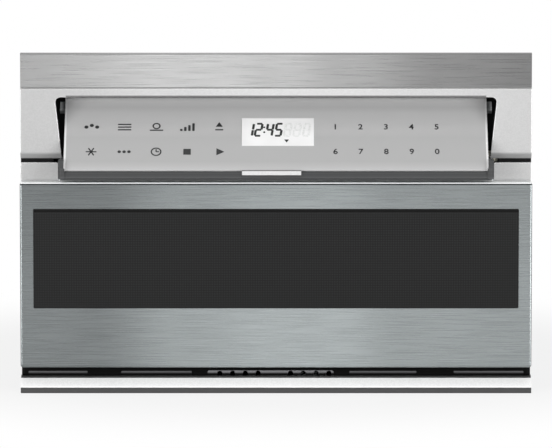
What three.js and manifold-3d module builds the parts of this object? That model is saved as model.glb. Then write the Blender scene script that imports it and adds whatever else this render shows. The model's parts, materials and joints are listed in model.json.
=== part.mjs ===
// A built-in microwave drawer, 24 in class, with its tilt-out control flap open.
// Millimetres, +X right, +Y into the cabinet, +Z up. The origin is the middle of the case's base.

import * as THREE from "three";
import { mergeVertices } from "three/addons/utils/BufferGeometryUtils.js";
import Module from "manifold-3d";

// ---------------------------------------------------------------- driving dimensions

// Overall front, and the sheet metal case behind it.
const FRONT_WIDTH = 606;
const FRONT_HEIGHT = 403;
const SIDE_FLANGE = 25;
const CASE_DEPTH = 560;
const CASE_SHEET = 1;
const BASE_SHEET = 1.2;
const PLATE_SHEET = 1.5;

// Clearance between pieces that seat on each other.
const SEAT = 0.3;

// Fixed front: bands from the top down.
const FASCIA_DEPTH = 8;
const TOP_TRIM_HEIGHT = 41.4;
const TRIM_SHEET = 1;
const UPPER_FASCIA_HEIGHT = 83.6;
const UPPER_FASCIA_LEAD = 2;
const UPPER_BEVEL_HEIGHT = 5.7;
const UPPER_BEVEL_DEPTH = 4.5;
const FASCIA_WALL = 2.5;
const REVEAL_SLOT = 4.8;
const LOWER_FASCIA_HEIGHT = 31.2;
const NOTCH_TOP_BAND = 10.6;
const NOTCH_SIDE_BAND = 40.8;
const NOTCH_TAPER = 0.113;
const NOTCH_RADIUS = 6;
const LOWER_NOTCH_SIDE_BAND = 46;
const LOWER_NOTCH_DEPTH = 20.2;
const LOWER_NOTCH_RADIUS = 5;

// Sill and vent strip below the drawer front.
const SILL_LEAD = 24;
const SILL_FACE_HEIGHT = 8.1;
const SILL_HEIGHT = 19.6;
const SILL_SLOPE = 12;
const VENT_STRIP_TOP = 32;
const VENT_STRIP_THICKNESS = 3;
const VENT_BAR_HEIGHT = 7;
const VENT_BAR_RELIEF = 1.6;
const VENT_BAR_LEVEL = 20.2;
const VENT_BLOCK_WIDTH = 150;
const VENT_BLOCK_SHIFT = -6.5;
const VENT_HOLE_LEVEL = 18;
const VENT_HOLE_SHIFT = -2;
const VENT_HOLE_PITCH = 15.2;
const VENT_HOLE_WIDTH = 6;
const VENT_HOLE_HEIGHT = 11;
const VENT_HOLES_PER_SIDE = 4;
const VENT_HOLE_FIRST = 19.4;
const VENT_BAR_LENGTH = 84;
const VENT_BAR_GAP = 19;
const VENT_END_GAP = 36;
const VENT_BAR_SLANT = 10;
const VENT_BAR_END = 4;

// Pads on the back of the side flanges, which bear on the cabinet.
const FLANGE_PAD_SHEET = 0.8;
const FLANGE_PAD_MARGIN = 4;
const FLANGE_PAD_END = 20;

// Drawer front.
const DOOR_BOTTOM = 31;
const DOOR_TOP_GAP = 1;
const DOOR_LEAD = 25;
const DOOR_BACK_GAP = 1.5;
const DOOR_SKIN = 1.2;
const DOOR_EDGE = 2;
const WINDOW_SIDE_BAND = 16;
const WINDOW_TOP_BAND = 31.7;
const WINDOW_RISE = 71;
const GLASS_THICKNESS = 4.3;
const GLASS_INSET = 0.4;
const SCREEN_SHEET = 0.8;
const SIGHT_MARGIN = 17;

// Cooking box, tub and choke.
const CAVITY_SIDE_SPACE = 46;
const CAVITY_FLOOR = 62;
const CAVITY_TOP_GAP = 1.2;
const REAR_SPACE = 150;
const CAVITY_WALL = 1.5;
const CAVITY_RADIUS = 12;
const CHOKE_CLEARANCE = 1.5;
const CHOKE_LEAD = 20;
const CHOKE_RIM = 18;
const CHOKE_SHEET = 1.4;
const INNER_GLASS = 4;
const TUB_SIDE_GAP = 6;
const TUB_FLOOR_RISE = 4;
const TUB_HEADROOM = 50.5;
const TUB_END_SPACE = 40;
const TUB_WALL = 3;
const TUB_FLOOR = 4;
const TUB_RADIUS = 14;
const TRAY_THICKNESS = 5;
const TRAY_MARGIN = 20;
const TRAY_RECESS = 2.5;

// Drawer travel, slides and drive.
const RAIL_END_SPACE = 80;
const RAIL_LEVEL = 107;
const RAIL_HALF_HEIGHT = 22.5;
const RAIL_DEPTH = 12;
const RAIL_SHEET = 1.4;
const RAIL_RETURN = 6.5;
const GEAR_MODULE = 2;
const DRIVE_TEETH = 18;
const RACK_PITCH_LEVEL = 40;
const RACK_BAR = 8;
const RACK_WIDTH = 8;
const RACK_INSET = 27;
const RACK_END_SPACE = 40;
const BACKLASH = 0.45;
const PRESSURE_ANGLE = THREE.MathUtils.degToRad(20);
const SHAFT_SETBACK = 60;
const SHAFT_RADIUS = 5;
const SHAFT_OVERHANG = 14;
const BRACKET_SHEET = 5;

// Control flap, drawn closed about its hinge and then turned open.
const HINGE_SETBACK = 20;
const HINGE_DROP = 71.6;
const FLAP_OPEN = THREE.MathUtils.degToRad(90.8);
const FLAP_CLEARANCE = 3.5;
const FLAP_PLATE_TOP = 66.5;
const FLAP_PLATE_BOTTOM = -20;
const FLAP_PLATE_SHEET = 1.2;
const FLAP_WALL = 2;
const FLAP_SIDE_SPACE = 12;
const FLAP_SKIRT_DEPTH = 22;
const SKIRT_START = 18;
const SKIRT_CHAMFER = 9;
const KEY_FACE_LIP = 0.5;
const KEY_FACE_LENGTH = 112;
const KEY_FACE_TILT = THREE.MathUtils.degToRad(45);
const KEY_FACE_THICKNESS = 2;
const KEY_FACE_EDGE_DEPTH = 11.4;
const KEY_FACE_EDGE_DROP = 4.5;
const DISPLAY_WIDTH = 84.9;
const DISPLAY_HEIGHT = 39.4;
const DISPLAY_RISE = 40.1;
const DISPLAY_SHIFT = 1.4;
const TAB_WIDTH = 69.7;
const TAB_SHIFT = -5.2;
const TAB_REACH = 7.4;
const STOP_PAD_WIDTH = 6.5;
const STOP_PAD_LENGTH = 14;
const HINGE_PIN_RADIUS = 3;
const BAY_SIDE_SPACE = 12;
const BAY_WALL = 2.5;
const BAY_BACK = 92;
const BAY_FLOOR_DROP = 31.5;
const BAY_HEADROOM = 6.67;
const BAY_ROOF_GAP = 4;
const SECTOR_TEETH = 24;
const DAMPER_TEETH = 8;
const SECTOR_WIDTH = 5;

// ---------------------------------------------------------------- places worked out from them

const CASE_WIDTH = FRONT_WIDTH - 2 * SIDE_FLANGE;
const CASE_INNER_HALF = CASE_WIDTH / 2;
const CASE_OUTER_HALF = CASE_INNER_HALF + CASE_SHEET;
const CASE_FRONT = -CASE_DEPTH / 2;
const PLATE_FRONT = CASE_FRONT - PLATE_SHEET;
const FASCIA_FACE = PLATE_FRONT - FASCIA_DEPTH;
const TOP_TRIM_BOTTOM = FRONT_HEIGHT - TOP_TRIM_HEIGHT;
const UPPER_FASCIA_TOP = TOP_TRIM_BOTTOM - SEAT;
const UPPER_FASCIA_BOTTOM = UPPER_FASCIA_TOP - UPPER_FASCIA_HEIGHT;
const NOTCH_TOP = UPPER_FASCIA_TOP - NOTCH_TOP_BAND;
const NOTCH_TOP_HALF = FRONT_WIDTH / 2 - NOTCH_SIDE_BAND;
const LOWER_NOTCH_HALF = FRONT_WIDTH / 2 - LOWER_NOTCH_SIDE_BAND;
const LOWER_FASCIA_TOP = UPPER_FASCIA_BOTTOM - REVEAL_SLOT;
const LOWER_FASCIA_BOTTOM = LOWER_FASCIA_TOP - LOWER_FASCIA_HEIGHT;
const DOOR_TOP = LOWER_FASCIA_TOP - LOWER_NOTCH_DEPTH - DOOR_TOP_GAP;
const WINDOW_WIDTH = FRONT_WIDTH - 2 * WINDOW_SIDE_BAND;
const WINDOW_BOTTOM = DOOR_BOTTOM + WINDOW_RISE;
const WINDOW_TOP = DOOR_TOP - WINDOW_TOP_BAND;
const CAVITY_HALF = CASE_INNER_HALF - CAVITY_SIDE_SPACE;
const CAVITY_CEILING = LOWER_FASCIA_BOTTOM - CAVITY_TOP_GAP;
const CHOKE_HALF = CAVITY_HALF - CHOKE_CLEARANCE;
const CHOKE_BOTTOM = CAVITY_FLOOR + CHOKE_CLEARANCE;
const CHOKE_TOP = CAVITY_CEILING - CHOKE_CLEARANCE;
const CHOKE_BACK = ahead(-CHOKE_LEAD);
const DOOR_BACK = ahead(DOOR_BACK_GAP);
const CAVITY_DEPTH = CASE_DEPTH - REAR_SPACE;
const CAVITY_BACK = CASE_FRONT + CAVITY_DEPTH;
const TUB_LENGTH = CAVITY_DEPTH - TUB_END_SPACE;
const RAIL_LENGTH = CASE_DEPTH - RAIL_END_SPACE;
const TUB_HALF = CAVITY_HALF - TUB_SIDE_GAP;
const TUB_BOTTOM = CAVITY_FLOOR + TUB_FLOOR_RISE;
const TUB_TOP = CAVITY_CEILING - TUB_HEADROOM;
const RACK_HALF_SPACING = CAVITY_HALF - RACK_INSET;
const SHAFT_Y = CASE_FRONT + SHAFT_SETBACK;
const DRIVE_RADIUS = (GEAR_MODULE * DRIVE_TEETH) / 2;
const SHAFT_LEVEL = RACK_PITCH_LEVEL - DRIVE_RADIUS;
const RACK_PITCH = Math.PI * GEAR_MODULE;
const RACK_TEETH = Math.floor((RAIL_LENGTH - RACK_END_SPACE) / RACK_PITCH);
const RACK_TOP = RACK_PITCH_LEVEL + 1.25 * GEAR_MODULE + RACK_BAR;
const HINGE_Y = ahead(-HINGE_SETBACK);
const HINGE_LEVEL = NOTCH_TOP - HINGE_DROP;
const FLAP_BODY_HALF = NOTCH_TOP_HALF - FLAP_SIDE_SPACE;
const KEY_FACE_HALF = FLAP_BODY_HALF + KEY_FACE_LIP;
const BAY_HALF = CASE_INNER_HALF - BAY_SIDE_SPACE;
const PLATE_OFFSET = HINGE_SETBACK + UPPER_FASCIA_LEAD;
const BAY_FLOOR = HINGE_LEVEL - BAY_FLOOR_DROP;
const FACE_EDGE = new THREE.Vector2(
  -(PLATE_OFFSET - KEY_FACE_EDGE_DEPTH),
  FLAP_PLATE_TOP - KEY_FACE_EDGE_DROP,
);
const OPEN_EDGE_RISE = FACE_EDGE.x * Math.sin(FLAP_OPEN) + FACE_EDGE.y * Math.cos(FLAP_OPEN);
const OPEN_FACE_TOP = HINGE_LEVEL + OPEN_EDGE_RISE + KEY_FACE_LENGTH * Math.sin(KEY_FACE_TILT);
const BAY_CEILING = OPEN_FACE_TOP + BAY_HEADROOM;
const CASE_HEIGHT = BAY_CEILING + BAY_WALL + BAY_ROOF_GAP + CASE_SHEET;

// The y of a point that lies `distance` in front of the fascia's face.
function ahead(distance) {
  return FASCIA_FACE - distance;
}

// Half of the flap notch's width at height z.
function notchHalfAt(z) {
  return NOTCH_TOP_HALF - (NOTCH_TOP - z) * NOTCH_TAPER;
}

// ---------------------------------------------------------------- outlines and solids

// Adds a closed outline of [x, y, cornerRadius] points to a path, with arcs at its corners.
function draw(path, points) {
  points.forEach(([x, y, radius = 0], index) => {
    const corner = new THREE.Vector2(x, y);
    const before = new THREE.Vector2(...points.at(index - 1).slice(0, 2)).sub(corner);
    const after = new THREE.Vector2(...points[(index + 1) % points.length].slice(0, 2)).sub(corner);
    const half = Math.acos(before.dot(after) / (before.length() * after.length())) / 2;
    const reach = Math.min(radius / Math.tan(half), before.length() * 0.49, after.length() * 0.49);
    if (reach < 1e-3) {
      if (index === 0) path.moveTo(x, y);
      else path.lineTo(x, y);
      return;
    }
    const start = before.clone().setLength(reach);
    const end = after.clone().setLength(reach);
    const round = reach * Math.tan(half);
    const centre = start.clone().add(end).setLength(round / Math.sin(half));
    const from = start.clone().sub(centre).angle();
    const to = end.clone().sub(centre).angle();
    centre.add(corner);
    if (index === 0) path.moveTo(x + start.x, y + start.y);
    path.absarc(centre.x, centre.y, round, from, to, before.cross(after) > 0);
  });
  path.closePath();
  return path;
}

function outline(points, ...holes) {
  const shape = draw(new THREE.Shape(), points);
  shape.holes.push(...holes);
  return shape;
}

function opening(points) {
  return draw(new THREE.Path(), points);
}

// The corners of a rectangle, each rounded by the same radius.
function rectangle(left, right, bottom, top, radius = 0) {
  return [
    [left, bottom, radius],
    [right, bottom, radius],
    [right, top, radius],
    [left, top, radius],
  ];
}

function circle(x, y, radius) {
  return new THREE.Path().absarc(x, y, radius, 0, 2 * Math.PI, false);
}

function disc(x, y, radius) {
  return new THREE.Shape().absarc(x, y, radius, 0, 2 * Math.PI, false);
}

function extrude(shape, depth, steps) {
  return new THREE.ExtrudeGeometry(shape, { depth, bevelEnabled: false, curveSegments: steps });
}

// An outline in (x, z), extruded from y0 back to y1.
function alongY(shape, y0, y1, steps = 2) {
  return extrude(shape, y1 - y0, steps).rotateX(Math.PI / 2).translate(0, y1, 0);
}

// An outline in (y, z), extruded from x0 to x1.
function alongX(shape, x0, x1, steps = 2) {
  return extrude(shape, x1 - x0, steps).rotateX(Math.PI / 2).rotateZ(Math.PI / 2).translate(x0, 0, 0);
}

// An outline in (x, y), extruded from z0 up to z1.
function alongZ(shape, z0, z1, steps = 2) {
  return extrude(shape, z1 - z0, steps).translate(0, 0, z0);
}

function block(x0, x1, y0, y1, z0, z1) {
  return alongZ(outline(rectangle(x0, x1, y0, y1)), z0, z1);
}

const manifold = await Module();
manifold.setup();

function toSolid(geometry) {
  const bare = geometry.clone();
  bare.deleteAttribute("normal");
  bare.deleteAttribute("uv");
  const merged = mergeVertices(bare, 1e-4);
  const mesh = new manifold.Mesh({
    numProp: 3,
    vertProperties: merged.attributes.position.array,
    triVerts: new Uint32Array(merged.index.array),
  });
  return new manifold.Manifold(mesh);
}

function toGeometry(solid) {
  const { vertProperties, triVerts } = solid.getMesh();
  const indexed = new THREE.BufferGeometry();
  indexed.setAttribute("position", new THREE.BufferAttribute(vertProperties, 3));
  indexed.setIndex(new THREE.BufferAttribute(triVerts, 1));
  const flat = indexed.toNonIndexed();
  flat.computeVertexNormals();
  return flat;
}

function cut(geometry, ...tools) {
  const start = toSolid(geometry);
  return toGeometry(tools.reduce((solid, tool) => solid.subtract(toSolid(tool)), start));
}

function join(geometry, ...more) {
  const start = toSolid(geometry);
  return toGeometry(more.reduce((solid, other) => solid.add(toSolid(other)), start));
}

function common(geometry, other) {
  return toGeometry(toSolid(geometry).intersect(toSolid(other)));
}

// A spur gear's outline with involute flanks. The space before tooth 0 stands at the angle `turn`.
function gearPoints(teeth, module, turn = 0, firstTooth = 0, lastTooth = teeth - 1) {
  const pitchRadius = (module * teeth) / 2;
  const baseRadius = pitchRadius * Math.cos(PRESSURE_ANGLE);
  const involute = (angle) => Math.tan(angle) - angle;
  const halfAtPitch = Math.PI / (2 * teeth) - BACKLASH / 2 / pitchRadius;
  const halfAt = (radius) => {
    const angle = Math.acos(Math.min(1, baseRadius / radius));
    return halfAtPitch + involute(PRESSURE_ANGLE) - involute(angle);
  };
  const radii = [pitchRadius - 1.25 * module, pitchRadius, pitchRadius + module];
  const points = [];
  for (let tooth = firstTooth; tooth <= lastTooth; tooth += 1) {
    const middle = turn + ((tooth + 0.5) * 2 * Math.PI) / teeth;
    const flank = (side) => (radius) => [
      radius * Math.cos(middle + side * halfAt(radius)),
      radius * Math.sin(middle + side * halfAt(radius)),
    ];
    points.push(...radii.map(flank(-1)), ...radii.toReversed().map(flank(1)));
  }
  return points;
}

// ---------------------------------------------------------------- finishes

function finish(color, roughness, metalness) {
  return new THREE.MeshStandardMaterial({ color, roughness, metalness });
}

const brushedSteel = () => finish(0x9aa0a1, 0.35, 1);
const satinSilver = () => finish(0xc9cbcc, 0.45, 0.6);
const silverFilm = () => finish(0xb2b3b4, 0.5, 0.3);
const paleDisplay = () => finish(0xe4e5e3, 0.3, 0);
const darkMoulding = () => finish(0x4b4d4e, 0.55, 0);
const blackMoulding = () => finish(0x151516, 0.6, 0);
const blackSheet = () => finish(0x1b1c1d, 0.5, 0.4);
const galvanised = () => finish(0xa7abad, 0.45, 0.9);
const darkGlass = () => finish(0x131414, 0.08, 0);
const clearGlass = () => finish(0x8d9596, 0.1, 0);
const enamel = () => finish(0xb9bbb8, 0.35, 0.2);
const paleMoulding = () => finish(0xd8d8d2, 0.5, 0);
const ceramic = () => finish(0xe9e7e0, 0.3, 0);
const nylon = () => finish(0xe2dfd2, 0.55, 0);
const machinedSteel = () => finish(0x8b8e90, 0.3, 1);
const rubber = () => finish(0x5a5c5d, 0.8, 0);
const boardGreen = () => finish(0x1f5a38, 0.5, 0);
const copper = () => finish(0x9a5a32, 0.35, 0.9);
const aluminium = () => finish(0xb7babc, 0.35, 0.9);

function part(name, geometry, material) {
  const mesh = new THREE.Mesh(geometry, material);
  mesh.name = name;
  return mesh;
}

const sides = { left: -1, right: 1 };

// Left and right copies of one piece: `make` gives the geometry for a side of -1 or 1.
function pair(name, make, material) {
  return Object.entries(sides).map(([word, side]) => part(`${name}_${word}`, make(side), material()));
}

// A block between two distances from the middle, on one side.
function sideBlock(side, near, far, y0, y1, z0, z1) {
  return block(Math.min(side * near, side * far), Math.max(side * near, side * far), y0, y1, z0, z1);
}

// ---------------------------------------------------------------- fixed front

const RACK_SLOT_HALF = RACK_WIDTH / 2 + 3;
const RAIL_SLOT_NEAR = CASE_INNER_HALF - RAIL_DEPTH - 6;
const HOOK_DROP = 43.7;
const HOOK_SIDE_SPACE = 28;
const HOOK_LEVEL = DOOR_TOP - HOOK_DROP;
const HOOK_SPACING = CASE_INNER_HALF - HOOK_SIDE_SPACE;
const HOOK_HALF_WIDTH = 3;
const HOOK_HEIGHT = 12;
const HOOK_REACH = 24;
const HOOK_NOSE = 8;
const SCREW_MARGIN = 9;
const SCREW_END = 60;
const SCREW_SPACING = FRONT_WIDTH / 2 - SCREW_MARGIN;
const SCREW_LEVELS = [SCREW_END, FRONT_HEIGHT / 2, FRONT_HEIGHT - SCREW_END];

function frontPlate() {
  const holes = [];
  const hole = (left, right, bottom, top, radius = 0) => {
    const shape = outline(rectangle(Math.min(left, right), Math.max(left, right), bottom, top, radius));
    holes.push(alongY(shape, PLATE_FRONT - 1, CASE_FRONT + 1));
  };
  const pads = Object.values(sides).map((side) =>
    sideBlock(
      side,
      CASE_OUTER_HALF + FLANGE_PAD_MARGIN,
      FRONT_WIDTH / 2 - FLANGE_PAD_MARGIN,
      PLATE_FRONT + PLATE_SHEET / 2,
      CASE_FRONT + FLANGE_PAD_SHEET,
      FLANGE_PAD_END,
      FRONT_HEIGHT - FLANGE_PAD_END,
    ),
  );
  hole(-CAVITY_HALF - 3, CAVITY_HALF + 3, CAVITY_FLOOR - 3, CAVITY_CEILING + 1);
  hole(-NOTCH_TOP_HALF - 2, NOTCH_TOP_HALF + 2, BAY_FLOOR + 1, NOTCH_TOP + 2, 3);
  hole(
    VENT_BLOCK_SHIFT - VENT_BLOCK_WIDTH / 2,
    VENT_BLOCK_SHIFT + VENT_BLOCK_WIDTH / 2,
    VENT_HOLE_LEVEL - VENT_HOLE_HEIGHT,
    VENT_HOLE_LEVEL + VENT_HOLE_HEIGHT / 2 + 2,
  );
  for (const side of Object.values(sides)) {
    hole(
      side * (RACK_HALF_SPACING - RACK_SLOT_HALF),
      side * (RACK_HALF_SPACING + RACK_SLOT_HALF),
      RACK_PITCH_LEVEL - GEAR_MODULE - 2,
      RACK_TOP + 2,
    );
    hole(
      side * RAIL_SLOT_NEAR,
      side * (CASE_INNER_HALF - 0.5),
      RAIL_LEVEL - RAIL_HALF_HEIGHT - 1,
      RAIL_LEVEL + RAIL_HALF_HEIGHT + 1,
    );
    hole(
      side * (HOOK_SPACING - HOOK_HALF_WIDTH - 2),
      side * (HOOK_SPACING + HOOK_HALF_WIDTH + 2),
      HOOK_LEVEL - 4,
      HOOK_LEVEL + HOOK_HEIGHT + 4,
    );
    SCREW_LEVELS.forEach((level) => {
      const screw = disc(side * SCREW_SPACING, level, 2.5);
      holes.push(alongY(screw, PLATE_FRONT - 1, CASE_FRONT + FLANGE_PAD_SHEET + 1, 4));
    });
  }
  const sheet = outline(rectangle(-FRONT_WIDTH / 2, FRONT_WIDTH / 2, 0, FRONT_HEIGHT));
  const plate = join(alongY(sheet, PLATE_FRONT, CASE_FRONT), ...pads);
  return part("front_plate", cut(plate, ...holes), blackSheet());
}

function topTrim() {
  const half = FRONT_WIDTH / 2;
  const profile = outline([
    [PLATE_FRONT, TOP_TRIM_BOTTOM],
    [PLATE_FRONT, FRONT_HEIGHT],
    [FASCIA_FACE, FRONT_HEIGHT, 2],
    [FASCIA_FACE, TOP_TRIM_BOTTOM, 1],
  ]);
  const hollow = block(
    -half + TRIM_SHEET,
    half - TRIM_SHEET,
    FASCIA_FACE + TRIM_SHEET,
    PLATE_FRONT + 1,
    TOP_TRIM_BOTTOM + TRIM_SHEET,
    FRONT_HEIGHT - TRIM_SHEET,
  );
  return part("top_trim", cut(alongX(profile, -half, half), hollow), brushedSteel());
}

function upperFascia() {
  const half = FRONT_WIDTH / 2;
  const face = ahead(UPPER_FASCIA_LEAD);
  const profile = outline([
    [PLATE_FRONT, UPPER_FASCIA_BOTTOM],
    [PLATE_FRONT, UPPER_FASCIA_TOP],
    [face, UPPER_FASCIA_TOP, 1.5],
    [face, UPPER_FASCIA_BOTTOM + UPPER_BEVEL_HEIGHT, 2],
    [face + UPPER_BEVEL_DEPTH, UPPER_FASCIA_BOTTOM, 1],
  ]);
  const notchBottom = UPPER_FASCIA_BOTTOM - 1;
  const elevation = outline([
    [-half, notchBottom],
    [-notchHalfAt(notchBottom), notchBottom],
    [-NOTCH_TOP_HALF, NOTCH_TOP, NOTCH_RADIUS],
    [NOTCH_TOP_HALF, NOTCH_TOP, NOTCH_RADIUS],
    [notchHalfAt(notchBottom), notchBottom],
    [half, notchBottom],
    [half, UPPER_FASCIA_TOP],
    [-half, UPPER_FASCIA_TOP],
  ]);
  const body = common(
    alongX(profile, -half, half),
    alongY(elevation, face - 1, PLATE_FRONT, 3),
  );
  const pocketFront = face + FASCIA_WALL;
  const earPockets = Object.values(sides).map((side) =>
    sideBlock(
      side,
      NOTCH_TOP_HALF + FASCIA_WALL,
      half - FASCIA_WALL,
      pocketFront,
      PLATE_FRONT + 1,
      UPPER_FASCIA_BOTTOM + UPPER_BEVEL_HEIGHT,
      NOTCH_TOP,
    ),
  );
  const bandPocket = block(
    -NOTCH_TOP_HALF,
    NOTCH_TOP_HALF,
    pocketFront,
    PLATE_FRONT + 1,
    NOTCH_TOP + FASCIA_WALL,
    UPPER_FASCIA_TOP - FASCIA_WALL,
  );
  return part("upper_fascia", cut(body, bandPocket, ...earPockets), satinSilver());
}

function lowerFascia() {
  const half = FRONT_WIDTH / 2;
  const floor = LOWER_FASCIA_TOP - LOWER_NOTCH_DEPTH;
  const elevation = outline([
    [-half, LOWER_FASCIA_BOTTOM],
    [half, LOWER_FASCIA_BOTTOM],
    [half, LOWER_FASCIA_TOP, 1],
    [LOWER_NOTCH_HALF, LOWER_FASCIA_TOP, 4],
    [LOWER_NOTCH_HALF, floor, LOWER_NOTCH_RADIUS],
    [-LOWER_NOTCH_HALF, floor, LOWER_NOTCH_RADIUS],
    [-LOWER_NOTCH_HALF, LOWER_FASCIA_TOP, 4],
    [-half, LOWER_FASCIA_TOP, 1],
  ]);
  const pockets = Object.values(sides).map((side) =>
    sideBlock(
      side,
      LOWER_NOTCH_HALF + FASCIA_WALL,
      half - FASCIA_WALL,
      FASCIA_FACE + FASCIA_WALL,
      PLATE_FRONT + 1,
      LOWER_FASCIA_BOTTOM + FASCIA_WALL,
      LOWER_FASCIA_TOP - FASCIA_WALL,
    ),
  );
  return part("lower_fascia", cut(alongY(elevation, FASCIA_FACE, PLATE_FRONT, 3), ...pockets), satinSilver());
}

function bottomSill() {
  const half = FRONT_WIDTH / 2;
  const face = ahead(SILL_LEAD);
  const rise = SILL_HEIGHT - SILL_FACE_HEIGHT;
  const inset = (TRIM_SHEET * Math.hypot(SILL_SLOPE, rise)) / rise;
  const outside = outline([
    [PLATE_FRONT, 0],
    [PLATE_FRONT, SILL_HEIGHT],
    [face + SILL_SLOPE, SILL_HEIGHT],
    [face, SILL_FACE_HEIGHT, 1],
    [face, 0, 1.5],
  ]);
  const inside = outline([
    [PLATE_FRONT + 1, TRIM_SHEET],
    [PLATE_FRONT + 1, SILL_HEIGHT + rise],
    [face + 2 * SILL_SLOPE + inset, SILL_HEIGHT + rise],
    [face + inset, SILL_FACE_HEIGHT],
    [face + inset, TRIM_SHEET],
  ]);
  const hollow = alongX(inside, -half + TRIM_SHEET, half - TRIM_SHEET);
  return part("bottom_sill", cut(alongX(outside, -half, half), hollow), satinSilver());
}

function ventGrille() {
  const half = FRONT_WIDTH / 2 - 4;
  const face = PLATE_FRONT - VENT_STRIP_THICKNESS;
  const top = face - VENT_BAR_RELIEF;
  const strip = outline(rectangle(-half, half, TRIM_SHEET, VENT_STRIP_TOP, 1));
  const low = VENT_BAR_LEVEL - VENT_BAR_HEIGHT / 2;
  const high = VENT_BAR_LEVEL + VENT_BAR_HEIGHT / 2;
  // A raised bar, whose ends can be cut at a slant so that its lower edge is the shorter one.
  const bar = (left, right, leftSlant = 0, rightSlant = 0) => {
    const shape = outline([
      [left + leftSlant, low, 2],
      [right - rightSlant, low, 2],
      [right, high, 2],
      [left, high, 2],
    ]);
    return alongY(shape, top, face + VENT_BAR_RELIEF / 2);
  };
  const blockLeft = VENT_BLOCK_SHIFT - VENT_BLOCK_WIDTH / 2;
  const blockRight = VENT_BLOCK_SHIFT + VENT_BLOCK_WIDTH / 2;
  const leftBarEnd = blockLeft - VENT_BAR_GAP - VENT_BAR_LENGTH;
  const rightBarEnd = blockRight + VENT_BAR_GAP + VENT_BAR_LENGTH;
  const bars = [
    bar(blockLeft, blockRight),
    bar(leftBarEnd, blockLeft - VENT_BAR_GAP),
    bar(blockRight + VENT_BAR_GAP, rightBarEnd, 0, VENT_BAR_SLANT),
    bar(-half + VENT_BAR_END, leftBarEnd - VENT_END_GAP, 0, VENT_BAR_SLANT),
    bar(rightBarEnd + VENT_END_GAP, half - VENT_BAR_END, VENT_BAR_SLANT, 0),
  ];
  const holes = [];
  for (const side of Object.values(sides)) {
    for (let count = 0; count < VENT_HOLES_PER_SIDE; count += 1) {
      const x = VENT_HOLE_SHIFT + side * (VENT_HOLE_FIRST + count * VENT_HOLE_PITCH);
      const pill = outline(
        rectangle(
          x - VENT_HOLE_WIDTH / 2,
          x + VENT_HOLE_WIDTH / 2,
          VENT_HOLE_LEVEL - VENT_HOLE_HEIGHT / 2,
          VENT_HOLE_LEVEL + VENT_HOLE_HEIGHT / 2,
          VENT_HOLE_WIDTH / 2,
        ),
      );
      holes.push(alongY(pill, top - 1, PLATE_FRONT + 1));
    }
  }
  return part("vent_grille", cut(join(alongY(strip, face, PLATE_FRONT), ...bars), ...holes), blackMoulding());
}

// ---------------------------------------------------------------- case

const VENT_SLOT_LENGTH = 46;
const VENT_SLOT_WIDTH = 3;
const VENT_SLOT_PITCH = 9;
const FLANK_SLOTS = 8;
const FLANK_SLOT_LEVEL = 210;
const FLANK_SLOT_Y = 200;
const FLOOR_SLOTS = 6;
const FLOOR_SLOT_X = 150;
const FLOOR_SLOT_Y = 60;

function basePlate() {
  const half = CASE_INNER_HALF - SEAT;
  const back = -CASE_FRONT;
  const flange = 12;
  const t = BASE_SHEET;
  const section = outline([
    [-half, 0, 1],
    [half, 0, 1],
    [half, flange],
    [half - t, flange],
    [half - t, t],
    [-half + t, t],
    [-half + t, flange],
    [-half, flange],
  ]);
  const rearFlange = block(-half + t / 2, half - t / 2, back - t, back, t / 2, flange);
  const slots = [];
  for (let row = 0; row < FLOOR_SLOTS; row += 1) {
    for (const side of Object.values(sides)) {
      const [x, y] = [FLOOR_SLOT_X, FLOOR_SLOT_Y + row * VENT_SLOT_PITCH * 1.5];
      slots.push(sideBlock(side, x, x + VENT_SLOT_LENGTH, y, y + VENT_SLOT_WIDTH, -1, t + 1));
    }
  }
  const pan = alongY(section, CASE_FRONT, back, 1);
  return part("base_plate", cut(join(pan, rearFlange), ...slots), galvanised());
}

function caseShell() {
  const inner = CASE_INNER_HALF;
  const outer = CASE_OUTER_HALF;
  const section = outline([
    [-outer, 0],
    [-inner, 0],
    [-inner, CASE_HEIGHT - CASE_SHEET, 3],
    [inner, CASE_HEIGHT - CASE_SHEET, 3],
    [inner, 0],
    [outer, 0],
    [outer, CASE_HEIGHT, 4],
    [-outer, CASE_HEIGHT, 4],
  ]);
  const louvres = [];
  for (const side of Object.values(sides)) {
    for (let row = 0; row < FLANK_SLOTS; row += 1) {
      const [y, z] = [FLANK_SLOT_Y, FLANK_SLOT_LEVEL + row * VENT_SLOT_PITCH];
      louvres.push(
        sideBlock(side, inner - 2, outer + 2, y, y + VENT_SLOT_LENGTH, z, z + VENT_SLOT_WIDTH),
      );
    }
  }
  const shell = alongY(section, CASE_FRONT, -CASE_FRONT);
  return part("case_shell", cut(shell, ...louvres), galvanised());
}

const FAN_SIDE_SPACE = 128;
const FAN_X = -CASE_INNER_HALF + FAN_SIDE_SPACE;
const FAN_LEVEL = 180;
const FAN_RADIUS = 48;
const GLAND_SIDE_SPACE = 53;
const GLAND_X = CASE_INNER_HALF - GLAND_SIDE_SPACE;
const GLAND_LEVEL = 60;
const GLAND_RADIUS = 8;

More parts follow.
